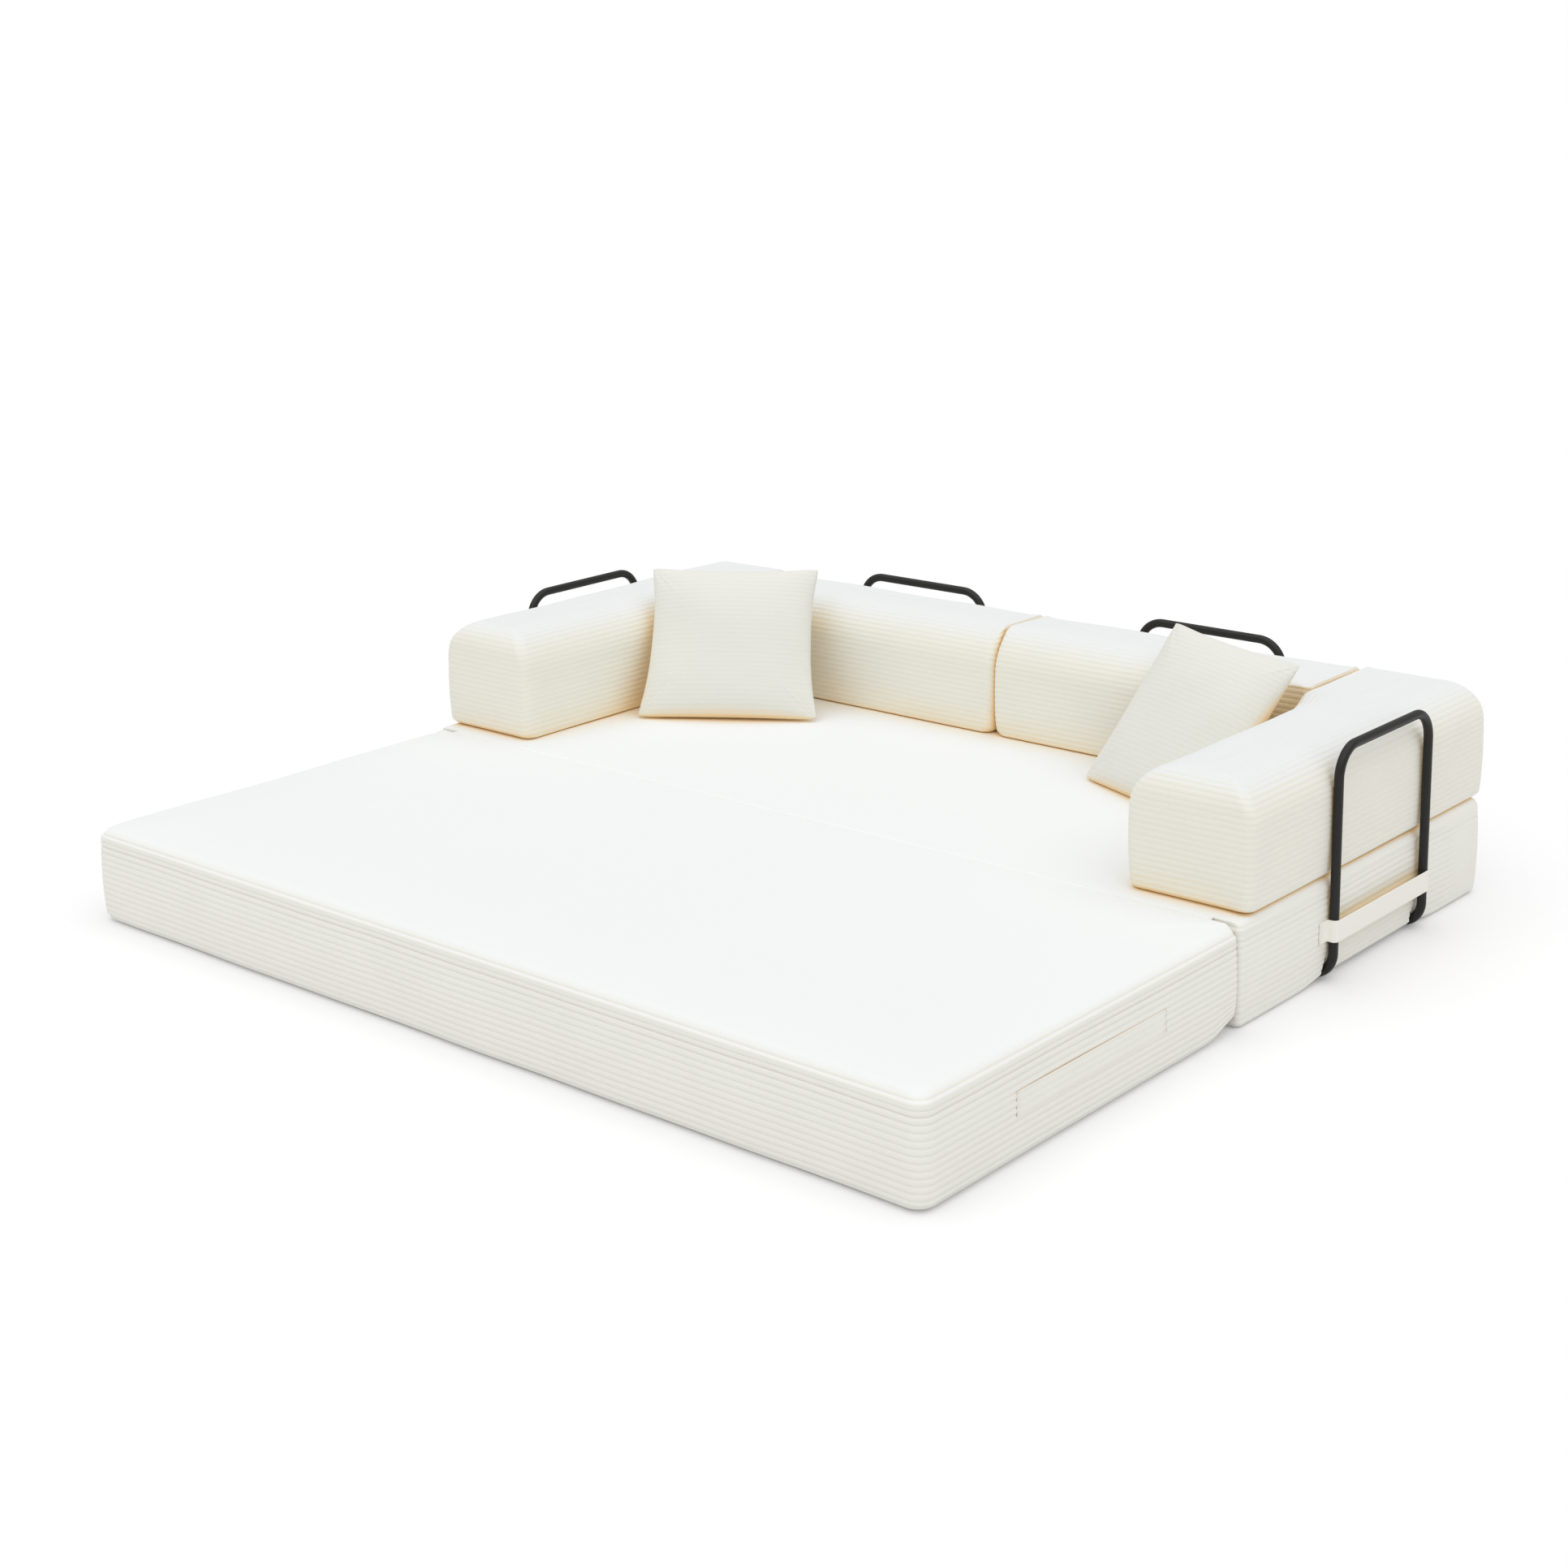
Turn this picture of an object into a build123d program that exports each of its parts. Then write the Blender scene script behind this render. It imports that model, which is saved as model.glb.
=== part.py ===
from build123d import *
import os
from math import cos, radians, sin, sqrt

# A low sleeper sofa laid out as a bed: a rear base, a front slab hinged to it along a fold, four
# bolsters standing round the rear base, two scatter cushions and four steel hoops that hold the
# bolsters. Millimetres, +X to the sitter's left side seen from the front, +Y to the back, +Z up.
# The origin lies on the floor in the middle of the overall footprint.

# Slabs
bed_width = 2060
slab_height = 200
front_depth = 905
rear_depth = 945
slab_corner = 38
slab_foot = 22
slab_barrel = 4
front_shoulder = 27
front_crown_drop = 6
front_crown_reach = 130
rear_shoulder = 17
rear_crown_drop = 2
rear_crown_reach = 60

# Slab covers and cores
bottom_cloth = 3
top_panel_rise = 14
slab_lining = 18
core_corner = 26

# Fold between the slabs
fold_gap = 0.6
fold_axis_drop = 8
fold_strip_half = 30
fold_strip_cloth = 2
fold_strip_side_gap = 60

# Bolsters
bolster_thickness = 255
bolster_height = 230
bolster_setback = 30
bolster_outer_round = 100
bolster_inner_round = 84
bolster_end_round = 40
bolster_foot = 14
bolster_corner = 30
bolster_barrel = 4
bolster_lining = 12
bolster_end_lining = 20

# Scatter cushions
cushion_width = 395
cushion_height = 348
cushion_half_depth = 62
cushion_drawn_in = 10
cushion_cloth = 3
cushion_seam_inset = 9
left_cushion_inset = 303.6
left_cushion_reach = 325
left_cushion_lift = 2.2
left_cushion_turn_share = 0.358
left_cushion_lean_share = 0.339
left_cushion_roll_share = 0.013
right_cushion_inset = 684
right_cushion_reach = 544.5
right_cushion_lift = 2.9
right_cushion_turn_share = -0.222
right_cushion_lean_share = 0.4
right_cushion_roll_share = 0.031

# Steel hoops
tube_diameter = 18
hoop_width = 350
hoop_height = 440
hoop_top_bend = 56
hoop_foot_bend = 45
hoop_leg = 300
cap_depth = 3

# Straps
strap_cloth = 1.6
strap_width = 42
strap_length = 428

# Zips
zip_width = 8
zip_cloth = 2
zip_recess = 3
zip_slider = 14
base_zip_length = 1200
base_zip_inset = 62
bolster_zip_share = 0.7
cushion_zip_length = 200

# Clearances
seat_gap = 0.3
core_gap = 0.3
groove_gap = 0.4
overrun = 10

# Places worked out from the sizes above
tube_radius = tube_diameter / 2
tube_offset = seat_gap + tube_radius
hoop_reach = seat_gap + tube_diameter + seat_gap + strap_cloth
fold_y = (front_depth - rear_depth - hoop_reach) / 2
front_edge = fold_y - fold_gap / 2
rear_edge = fold_y + fold_gap / 2
back_y = rear_edge + rear_depth
side_x = bed_width / 2
rear_length = back_y - rear_edge
arm_length = rear_depth - bolster_setback
arm_y = back_y - arm_length / 2
bolster_floor = slab_height + seat_gap
inner_x = side_x - bolster_thickness
back_length = inner_x - 1.5 * seat_gap
back_x = (back_length + seat_gap) / 2
fold_axis_z = slab_height - fold_axis_drop

# Share of a whole turn that each flat round a tube takes
tube_flat_share = 0.1

# Shares of a quarter turn at which the rings of a rounded edge lie
foot_shares = (0, 0.45, 1)
round_shares = (0, 0.5, 1)
dome_shares = (0, 0.3, 0.57, 0.81, 1)
crown_rise_share = 0.62
crown_inset_share = 0.45

# Shares of a cushion's half depth at which its rings lie, and of its side at which its outline bends
cushion_shares = (0, 0.14, 0.36, 0.62, 0.83, 0.95)
outline_shares = (-1, -0.6, 0, 0.6)


def rounded_ring(length, width, corner, place):
    """A rounded rectangle, no sharper than its corner and never wider than a full round."""
    radius = min(corner, 0.48 * min(length, width))
    return place * RectangleRounded(length, width, radius)


def slab_rings(shoulder, crown_drop, crown_reach):
    """(height, inset) of each ring of a stuffed slab, from the floor to its crown."""
    rim = slab_height - crown_drop
    rings = []
    for share in foot_shares:
        angle = radians(90) * share
        rings.append((slab_foot * (1 - cos(angle)), slab_barrel + slab_foot * (1 - sin(angle))))
    rings.append((slab_height / 2, 0))
    for share in round_shares:
        angle = radians(90) * share
        rings.append((rim - shoulder * (1 - sin(angle)), slab_barrel + shoulder * (1 - cos(angle))))
    rings.append((rim + crown_drop * crown_rise_share, shoulder + crown_reach * crown_inset_share))
    rings.append((slab_height, shoulder + crown_reach))
    return rings


def slab_form(depth, middle_y, rings):
    """The outer form of a slab: a soft block with barrelled sides and a crowned top."""
    sections = []
    for height, inset in rings:
        length = bed_width - 2 * inset
        width = depth - 2 * inset
        sections.append(rounded_ring(length, width, slab_corner, Pos(0, middle_y, height)))
    return loft(sections, ruled=True)


def slab_cavity(depth, middle_y, gap):
    """The block of room inside a slab's cover, grown by a gap on every side."""
    length = bed_width - 2 * slab_lining + 2 * gap
    width = depth - 2 * slab_lining + 2 * gap
    low = bottom_cloth + core_gap - gap
    high = slab_height - top_panel_rise - core_gap + gap
    outline = Pos(0, middle_y, low) * RectangleRounded(length, width, core_corner)
    return extrude(outline, high - low)


def layer(low, high):
    """All the room between two heights, for cutting a cover into its sewn panels."""
    span = 2 * (bed_width + rear_depth + front_depth)
    return Pos(0, 0, low) * Box(span, span, high - low, align=(Align.CENTER, Align.CENTER, Align.MIN))


def zip_strip(length, place):
    """A closed zip lying flat: its coil and, at one end, the slider."""
    width = zip_width - 2 * core_gap
    coil = place * Pos(-zip_slider / 2, 0, 0) * Box(length - zip_slider, width, zip_cloth)
    slider_x = (length - zip_slider) / 2
    slider = place * Pos(slider_x, 0, 0) * Box(zip_slider, width, zip_cloth + core_gap)
    return Compound(children=[coil.solid(), slider.solid()])


def hoop_path():
    """The bent centre line of a hoop that stands against a wall at x = 0, feet running to -x."""
    half = hoop_width / 2
    inner = tube_offset - hoop_leg
    points = [
        (inner, -half, tube_radius),
        (tube_offset, -half, tube_radius),
        (tube_offset, -half, hoop_height),
        (tube_offset, half, hoop_height),
        (tube_offset, half, tube_radius),
        (inner, half, tube_radius),
    ]
    radii = [hoop_foot_bend, hoop_top_bend, hoop_top_bend, hoop_foot_bend]
    return FilletPolyline(*points, radius=radii)


def tube_outline():
    """A tube's outline, drawn with a few flats."""
    return RegularPolygon(tube_radius, round(1 / tube_flat_share))


def hoop_tube():
    """One bent tube."""
    path = hoop_path()
    start = Plane(origin=path @ 0, z_dir=path % 0)
    return sweep(start * tube_outline(), path=path)


def hoop_caps():
    """The two plastic plugs that close the feet of a hoop."""
    middle = tube_offset - hoop_leg - cap_depth / 2
    plugs = []
    for y in (-hoop_width / 2, hoop_width / 2):
        face = Pos(middle - cap_depth / 2, y, tube_radius) * Rot(0, 90, 0) * tube_outline()
        plugs.append(extrude(face, cap_depth).solid())
    return Compound(children=plugs)


def hoop_groove():
    """The room that a hoop's feet take out of the base: two slots with a rounded inner bend."""
    half_slot = tube_radius + groove_gap
    roof = tube_radius + half_slot
    inner = tube_offset - hoop_leg - cap_depth - groove_gap
    bend_x = tube_offset - hoop_foot_bend
    bend_z = tube_radius + hoop_foot_bend
    radius = hoop_foot_bend - half_slot
    wall = bend_x + radius
    outer = tube_offset + half_slot + overrun
    corners = [
        (bend_x, roof),
        (inner, roof),
        (inner, -overrun),
        (outer, -overrun),
        (outer, bend_z),
        (wall, bend_z),
    ]
    swing = radians(45)
    mid_bend = (bend_x + radius * sin(swing), bend_z - radius * cos(swing))
    outline = Polyline(*corners) + ThreePointArc((wall, bend_z), mid_bend, (bend_x, roof))
    side = Plane.XZ * make_face(outline)
    slots = []
    for y in (-hoop_width / 2, hoop_width / 2):
        slots.append(Pos(0, y + half_slot, 0) * extrude(side, 2 * half_slot))
    return slots


def hoop_strap():
    """The webbing that runs over both uprights of a hoop, its two tabs sewn to the base beside them."""
    rise = hoop_width / 2
    over = tube_radius + seat_gap + strap_cloth / 2
    flat = seat_gap + strap_cloth / 2
    crest = tube_offset + over
    end = strap_length / 2
    swing = over * sin(radians(45))
    path = Line((crest, -rise), (crest, rise))
    for side in (-1, 1):
        bend = (tube_offset + swing, side * (rise + swing))
        foot = side * (rise + over)
        path += ThreePointArc((crest, side * rise), bend, (tube_offset, foot))
        path += Polyline((tube_offset, foot), (flat, foot), (flat, side * end))
    band = trace(path, strap_cloth)
    return Pos(0, 0, (slab_height - strap_width) / 2) * extrude(band, strap_width)


def flat_strap():
    """The webbing on the front slab's side, lying flat while no hoop stands in it."""
    place = Pos(seat_gap + strap_cloth / 2, 0, slab_height / 2)
    return place * Box(strap_cloth, strap_length, strap_width)


def hoop_places():
    """Where each hoop stands: its name and the frame of the wall that it stands against."""
    return {
        "right": Pos(side_x, arm_y, 0),
        "left": Pos(-side_x, arm_y, 0) * Rot(0, 0, 180),
        "back_right": Pos(back_x, back_y, 0) * Rot(0, 0, 90),
        "back_left": Pos(-back_x, back_y, 0) * Rot(0, 0, 90),
    }


def slab_nodes(name, depth, middle_y, rings, grooves, zip_y):
    """The sewn panels, foam core and zip of one slab."""
    outer = slab_form(depth, middle_y, rings)
    cover = outer - slab_cavity(depth, middle_y, core_gap)
    core = slab_cavity(depth, middle_y, 0)
    for slot in grooves:
        cover = cover - slot
        core = core - slot
    seam_low = bottom_cloth
    seam_high = slab_height - top_panel_rise
    zip_room = Pos(0, zip_y, 0) * Box(base_zip_length + 2 * core_gap, zip_width, slab_height)
    bottom = (cover & layer(-overrun, seam_low)) - zip_room
    zip_place = Pos(0, zip_y, bottom_cloth - core_gap - zip_cloth / 2)
    return {
        f"{name}_foam": core,
        f"{name}_bottom_panel": bottom,
        f"{name}_side_band": cover & layer(seam_low, seam_high),
        f"{name}_top_panel": cover & layer(seam_high, slab_height + overrun),
        f"{name}_zip": zip_strip(base_zip_length, zip_place),
    }


def edge_inset(height, radius):
    """How far a bolster's rounded top edge has drawn in at a height."""
    rise = max(0, height - bolster_height + radius)
    return radius - sqrt(max(0, radius**2 - rise**2))


def bolster_form(length):
    """A D-shaped stuffed bolster lying along X on z = 0, its outer face at y = 0."""
    heights = []
    for share in foot_shares:
        heights.append(bolster_foot * (1 - cos(radians(90) * share)))
    heights.append(bolster_height / 2)
    for share in dome_shares:
        rise = bolster_outer_round * (1 - sin(radians(90) * share))
        heights.append(bolster_height - rise)
    sections = []
    for height in heights:
        foot = edge_inset(bolster_height - height, bolster_foot)
        belly = bolster_barrel * (2 * height / bolster_height - 1) ** 2
        outer = foot + belly + edge_inset(height, bolster_outer_round)
        inner = foot + belly + edge_inset(height, bolster_inner_round)
        end = foot + belly + edge_inset(height, bolster_end_round)
        width = bolster_thickness - outer - inner
        middle = (inner - outer - bolster_thickness) / 2
        sections.append(rounded_ring(length - 2 * end, width, bolster_corner, Pos(0, middle, height)))
    return loft(sections, ruled=True)


def bolster_block(length, gap):
    """The D-shaped block inside a bolster's cover, drawn in from the cover's lining by a gap."""
    lining = bolster_lining + gap
    top = bolster_height - lining
    outer_radius = bolster_outer_round - lining
    inner_radius = bolster_inner_round - lining
    outer_middle = (-bolster_outer_round, bolster_height - bolster_outer_round)
    inner_middle = (bolster_inner_round - bolster_thickness, bolster_height - bolster_inner_round)
    swing = sin(radians(45))
    outer_side = (-lining, outer_middle[1])
    outer_top = (outer_middle[0], top)
    outer_mid = (outer_middle[0] + outer_radius * swing, outer_middle[1] + outer_radius * swing)
    inner_side = (lining - bolster_thickness, inner_middle[1])
    inner_top = (inner_middle[0], top)
    inner_mid = (inner_middle[0] - inner_radius * swing, inner_middle[1] + inner_radius * swing)
    outline = Polyline(inner_side, (inner_side[0], lining), (-lining, lining), outer_side)
    outline += ThreePointArc(outer_side, outer_mid, outer_top)
    outline += Line(outer_top, inner_top)
    outline += ThreePointArc(inner_top, inner_mid, inner_side)
    half = length / 2 - bolster_end_lining - gap
    return Pos(-half, 0, 0) * extrude(Plane.YZ * make_face(outline), 2 * half)


def bolster_nodes(name, length, place):
    """The cover, foam core and zip of one bolster."""
    zip_length = length * bolster_zip_share
    zip_middle = -bolster_thickness / 2
    room = Pos(0, zip_middle, 0) * Box(zip_length + 2 * core_gap, zip_width, 2 * zip_recess)
    cover = bolster_form(length) - bolster_block(length, 0) - room
    core = bolster_block(length, core_gap)
    zip_place = Pos(0, zip_middle, zip_recess - core_gap - zip_cloth / 2)
    return {
        f"{name}_cover": place * cover,
        f"{name}_foam": place * core,
        f"{name}_zip": place * zip_strip(zip_length, zip_place),
    }


def cushion_outline(wide, tall):
    """The corners of a square whose sides draw in towards their middles."""
    points = []
    for share in outline_shares:
        points.append((share * wide / 2, cushion_drawn_in * (1 - share**2) - tall / 2))
    for share in outline_shares:
        points.append((wide / 2 - cushion_drawn_in * (1 - share**2), share * tall / 2))
    return points + [(-x, -y) for x, y in points]


def flat_face(*corners):
    """A flat face with straight edges between its corners."""
    return Face(Wire.make_polygon(corners, close=True))


def ring_solid(rings):
    """A solid of flat faces: bands between rings of the same number of corners, and a face at each end."""
    faces = [flat_face(*rings[0]), flat_face(*rings[-1])]
    for low, high in zip(rings, rings[1:]):
        for i in range(len(low)):
            faces.append(flat_face(low[i - 1], low[i], high[i], high[i - 1]))
    return Solid(Shell(faces))


def cushion_form(inset, cloth):
    """A whole stuffed square: rings that shrink from the seam towards both faces."""
    outline = cushion_outline(cushion_width - 2 * inset, cushion_height - 2 * inset)
    rings = []
    for share in cushion_shares:
        size = sqrt(1 - share**1.8)
        height = (cushion_half_depth - cloth) * share
        rings.append([Vector(x * size, y * size, height) for x, y in outline])
    below = [[Vector(v.X, v.Y, -v.Z) for v in ring] for ring in rings[:0:-1]]
    return ring_solid(below + rings)


def cushion_nodes(name, place):
    """The cover, filling and zip of one scatter cushion, its face looking along local -z."""
    seam_y = -cushion_height / 2 + cushion_drawn_in
    room_depth = zip_width
    room_length = cushion_zip_length + 2 * core_gap
    room = Pos(0, seam_y, 0) * Box(room_length, 2 * room_depth, zip_cloth + 3 * core_gap)
    room_end = seam_y + room_depth
    cover = cushion_form(0, 0) - cushion_form(cushion_seam_inset, cushion_cloth) - room
    filling = cushion_form(cushion_seam_inset + core_gap, cushion_cloth + core_gap) - room
    zip_place = Pos(0, room_end - core_gap - zip_width / 2, 0)
    return {
        f"{name}_cover": place * cover,
        f"{name}_filling": place * filling,
        f"{name}_zip": place * zip_strip(cushion_zip_length, zip_place),
    }


def cushion_place(x, y, lift, turn_share, lean_share, roll_share):
    """The frame of a cushion whose lower left corner stands at (x, y), a little above the rear base.

    The angles are shares of a quarter turn.
    """
    turn = Pos(x, y, bolster_floor + lift) * Rot(0, 0, 90 * turn_share)
    corner = turn * Rot(90 * (1 - lean_share), 0, 0) * Rot(0, 0, 90 * roll_share)
    return corner * Pos(cushion_width / 2, cushion_height / 2, 0)


def fold_strip(edge, inward):
    """One leaf of the cloth strip that joins the slabs at the fold, from the axis inwards."""
    length = bed_width - 2 * fold_strip_side_gap
    middle = edge + inward * fold_strip_half / 2
    return Pos(0, middle, fold_axis_z - fold_strip_cloth / 2) * Box(length, fold_strip_half, fold_strip_cloth)


def fold_rebate(edge, inward):
    """The room that a leaf of the fold strip takes out of a slab's top edge."""
    length = bed_width - 2 * fold_strip_side_gap + 2 * core_gap
    width = fold_strip_half + core_gap
    middle = edge + inward * width / 2
    floor = fold_axis_z - fold_strip_cloth
    return Pos(0, middle, floor) * Box(length, width, slab_height, align=(Align.CENTER, Align.CENTER, Align.MIN))


def all_nodes():
    """Every separate piece of the sofa, by name."""
    nodes = {}
    places = hoop_places()
    grooves = []
    for place in places.values():
        grooves += [place * slot for slot in hoop_groove()]
    rear_rings = slab_rings(rear_shoulder, rear_crown_drop, rear_crown_reach)
    front_rings = slab_rings(front_shoulder, front_crown_drop, front_crown_reach)
    rear_middle = rear_edge + rear_depth / 2
    front_middle = front_edge - front_depth / 2
    nodes.update(slab_nodes("rear_base", rear_depth, rear_middle, rear_rings, grooves, rear_edge + base_zip_inset))
    nodes.update(slab_nodes("front_slab", front_depth, front_middle, front_rings, [], front_edge - base_zip_inset))
    nodes["rear_base_top_panel"] -= fold_rebate(rear_edge, 1)
    nodes["front_slab_top_panel"] -= fold_rebate(front_edge, -1)
    nodes["fold_strip_rear"] = fold_strip(rear_edge, 1)
    nodes["fold_strip_front"] = fold_strip(front_edge, -1)

    nodes.update(bolster_nodes("right_arm", arm_length, Pos(side_x, arm_y, bolster_floor) * Rot(0, 0, -90)))
    nodes.update(bolster_nodes("left_arm", arm_length, Pos(-side_x, arm_y, bolster_floor) * Rot(0, 0, 90)))
    nodes.update(bolster_nodes("back_right", back_length, Pos(back_x, back_y, bolster_floor)))
    nodes.update(bolster_nodes("back_left", back_length, Pos(-back_x, back_y, bolster_floor)))

    left_place = cushion_place(
        left_cushion_inset - side_x,
        rear_edge + left_cushion_reach,
        left_cushion_lift,
        left_cushion_turn_share,
        left_cushion_lean_share,
        left_cushion_roll_share,
    )
    right_place = cushion_place(
        side_x - right_cushion_inset,
        rear_edge + right_cushion_reach,
        right_cushion_lift,
        right_cushion_turn_share,
        right_cushion_lean_share,
        right_cushion_roll_share,
    )
    nodes.update(cushion_nodes("left_cushion", left_place))
    nodes.update(cushion_nodes("right_cushion", right_place))

    for name, place in places.items():
        nodes[f"{name}_hoop"] = place * hoop_tube()
        nodes[f"{name}_hoop_caps"] = place * hoop_caps()
        nodes[f"{name}_hoop_strap"] = place * hoop_strap()
    front_y = front_edge - front_depth / 2
    nodes["front_slab_right_strap"] = Pos(side_x, front_y, 0) * flat_strap()
    nodes["front_slab_left_strap"] = Pos(-side_x, front_y, 0) * Rot(0, 0, 180) * flat_strap()
    return nodes


def main():
    os.makedirs("parts", exist_ok=True)
    for name, shape in all_nodes().items():
        export_step(shape, f"parts/{name}.step")


main()
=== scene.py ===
import bmesh
import bpy
import numpy as np
from mathutils import Matrix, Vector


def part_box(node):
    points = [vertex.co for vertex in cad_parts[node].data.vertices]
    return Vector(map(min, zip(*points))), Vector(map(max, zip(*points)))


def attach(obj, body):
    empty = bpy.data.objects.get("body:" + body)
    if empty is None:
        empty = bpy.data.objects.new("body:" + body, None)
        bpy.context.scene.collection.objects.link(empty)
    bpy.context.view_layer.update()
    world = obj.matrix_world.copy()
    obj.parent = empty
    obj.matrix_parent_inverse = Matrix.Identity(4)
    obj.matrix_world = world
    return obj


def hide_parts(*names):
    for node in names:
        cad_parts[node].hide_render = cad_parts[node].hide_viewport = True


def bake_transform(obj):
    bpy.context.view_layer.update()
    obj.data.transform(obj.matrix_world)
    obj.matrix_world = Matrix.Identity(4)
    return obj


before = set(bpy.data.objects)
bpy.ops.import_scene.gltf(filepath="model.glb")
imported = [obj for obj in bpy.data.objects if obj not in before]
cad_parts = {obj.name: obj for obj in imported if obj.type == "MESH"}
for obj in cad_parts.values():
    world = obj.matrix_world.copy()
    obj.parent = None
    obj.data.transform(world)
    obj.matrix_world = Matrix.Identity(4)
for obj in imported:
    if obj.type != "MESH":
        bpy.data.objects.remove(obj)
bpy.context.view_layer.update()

bl_info = {
    "name": "Sleeper sofa, laid out as a bed",
    "version": (1, 0, 0),
    "blender": (4, 5, 0),
    "location": "View3D > Sidebar > Sofa",
    "description": "Dresses the packed sofa: stuffed slabs and bolsters, cushions, hoops and straps",
    "category": "Add Mesh",
}

# Places of the CAD that the pieces are drawn to
MM = 0.001
SLAB_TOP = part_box("rear_base_top_panel")[1].z
SIDE_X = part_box("rear_base_side_band")[1].x
BACK_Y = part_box("rear_base_side_band")[1].y
REAR_FRONT_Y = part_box("rear_base_side_band")[0].y
FRONT_FRONT_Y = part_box("front_slab_side_band")[0].y
FRONT_BACK_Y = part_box("front_slab_side_band")[1].y
FOLD_Y = (REAR_FRONT_Y + FRONT_BACK_Y) / 2
ARM_FRONT_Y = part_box("right_arm_cover")[0].y
INNER_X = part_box("right_arm_cover")[0].x
BACK_INNER_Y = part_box("back_right_cover")[0].y
BOLSTER_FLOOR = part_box("right_arm_cover")[0].z
BOLSTER_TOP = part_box("right_arm_cover")[1].z
SIDES = ("right", "left", "back_right", "back_left")

# How the slabs are drawn. The front slab's edges are settings; these are the rear base's.
REAR_EDGES = {"crown": 2 * MM, "shoulder": 17 * MM, "foot": 13 * MM, "rib_depth": 1.2 * MM}
FOLD_CROWN = 1.5 * MM  # Rise of the top's edge at the fold
SMOOTH_RIM = 9 * MM  # Below the top, where the cords end
RISE_OVER_FEET = 9 * MM  # Of the rear base's lower edge, over the hoops' feet
RISE_AT_CORNERS = 26 * MM  # Of the front slab's rear lower corners
PRESS_GAP = 1.5 * MM  # Between a tube and the cloth that it presses in
TOUCH_GAP = 0.3 * MM  # Between a wall, a tube and a strap
ZIP_DEPTH = 3.3 * MM  # Of the bed that a zip lies in
BOLSTER_BARREL = 4 * MM  # How far the bolsters' sides swell
STRAP_CORD = 12 * MM  # Width of a cord of the corded straps

# How finely they are drawn
RINGS_PER_CORD = 7
SLAB_COLUMNS = 21 * MM, 17 * MM  # Steps along and across a slab
BOLSTER_COLUMNS = 12 * MM  # Steps along and across a bolster
FAR = 9.0  # Metres, past every piece, for a place or a limit that the clipping leaves out


def number(name, default, description, **limits):
    """A number that a user can change."""
    return bpy.props.FloatProperty(name=name, description=description, default=default, **limits)


def size(name, default, description, soft_max=3.0):
    """A length in metres that a user can change."""
    return number(name, default, description, min=0, soft_max=soft_max, unit="LENGTH")


def colour(name, code, description):
    """A colour that a user can change, its default given as an sRGB hex code."""
    default = hex_to_linear(code)[:3]
    return bpy.props.FloatVectorProperty(
        name=name, description=description, default=default, subtype="COLOR", size=3, min=0, max=1
    )


def hex_to_linear(code):
    """An sRGB hex colour as linear red, green, blue and full alpha."""
    srgb = np.array([int(code[i : i + 2], 16) / 255 for i in (1, 3, 5)])
    linear = np.where(srgb <= 0.04045, srgb / 12.92, ((srgb + 0.055) / 1.055) ** 2.4)
    return (*[float(c) for c in linear], 1.0)


class SofaClothSettings(bpy.types.PropertyGroup):
    waviness: size("Waviness", 1.6 * MM, "How far the stuffing swells and sinks under the cloth", 0.02)
    cream: colour("Cloth", "#f3f2ea", "Colour of the corded cloth")
    # Painted top light: the colour that the slabs' upper faces take for the light from above
    painted_top_light: colour("Brushed tops", "#f1f3f3", "Colour of the cloth on the upper faces")
    ribbed: colour("Ribbed cloth", "#f1efe3", "Colour of the bolsters' ribbed cloth")
    # Painted top light: the colour that the bolsters' upper faces take for the light from above
    ribbed_painted_top_light: colour("Ribbed tops", "#ebeded", "Colour of the bolsters' upper faces")
    cushion: colour("Cushions", "#e8e8e0", "Colour of the cushions' cloth")
    # Painted warm shade: the colour that the cloth takes in its creases, standing in for light bounced
    # between the pile
    painted_warm_shade: colour("Folds", "#fddfa8", "Colour of the cloth in its folds")
    webbing: colour("Webbing", "#f6f4ec", "Colour of the plain straps")


class SofaSlabSettings(bpy.types.PropertyGroup):
    rib_pitch: size("Rib pitch", 12.1 * MM, "Distance from one cord of the sides to the next", 0.05)
    rib_depth: size("Rib depth", 1.9 * MM, "How far the cords stand over the grooves between them", 0.01)
    foot: size("Foot round", 22 * MM, "Radius of the slabs' lower edges", 0.2)
    shoulder: size("Shoulder round", 27 * MM, "Radius of the front slab's upper edges", 0.2)
    corner: size("Corner round", 30 * MM, "Radius of the slabs' upright corners", 0.2)
    fold_corner: size("Fold corner", 14 * MM, "Radius of the upright corners that meet at the fold", 0.2)
    barrel: size("Barrel", 4 * MM, "How far the sides swell between their edges", 0.05)
    crown: size("Crown", 6 * MM, "How far the top rises from its edges to its middle", 0.05)
    reach: size("Crown reach", 160 * MM, "Width over which the top rises", 1.0)
    fold_shoulder: size("Fold shoulder", 4.5 * MM, "Radius of the upper edges that meet at the fold", 0.2)


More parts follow.
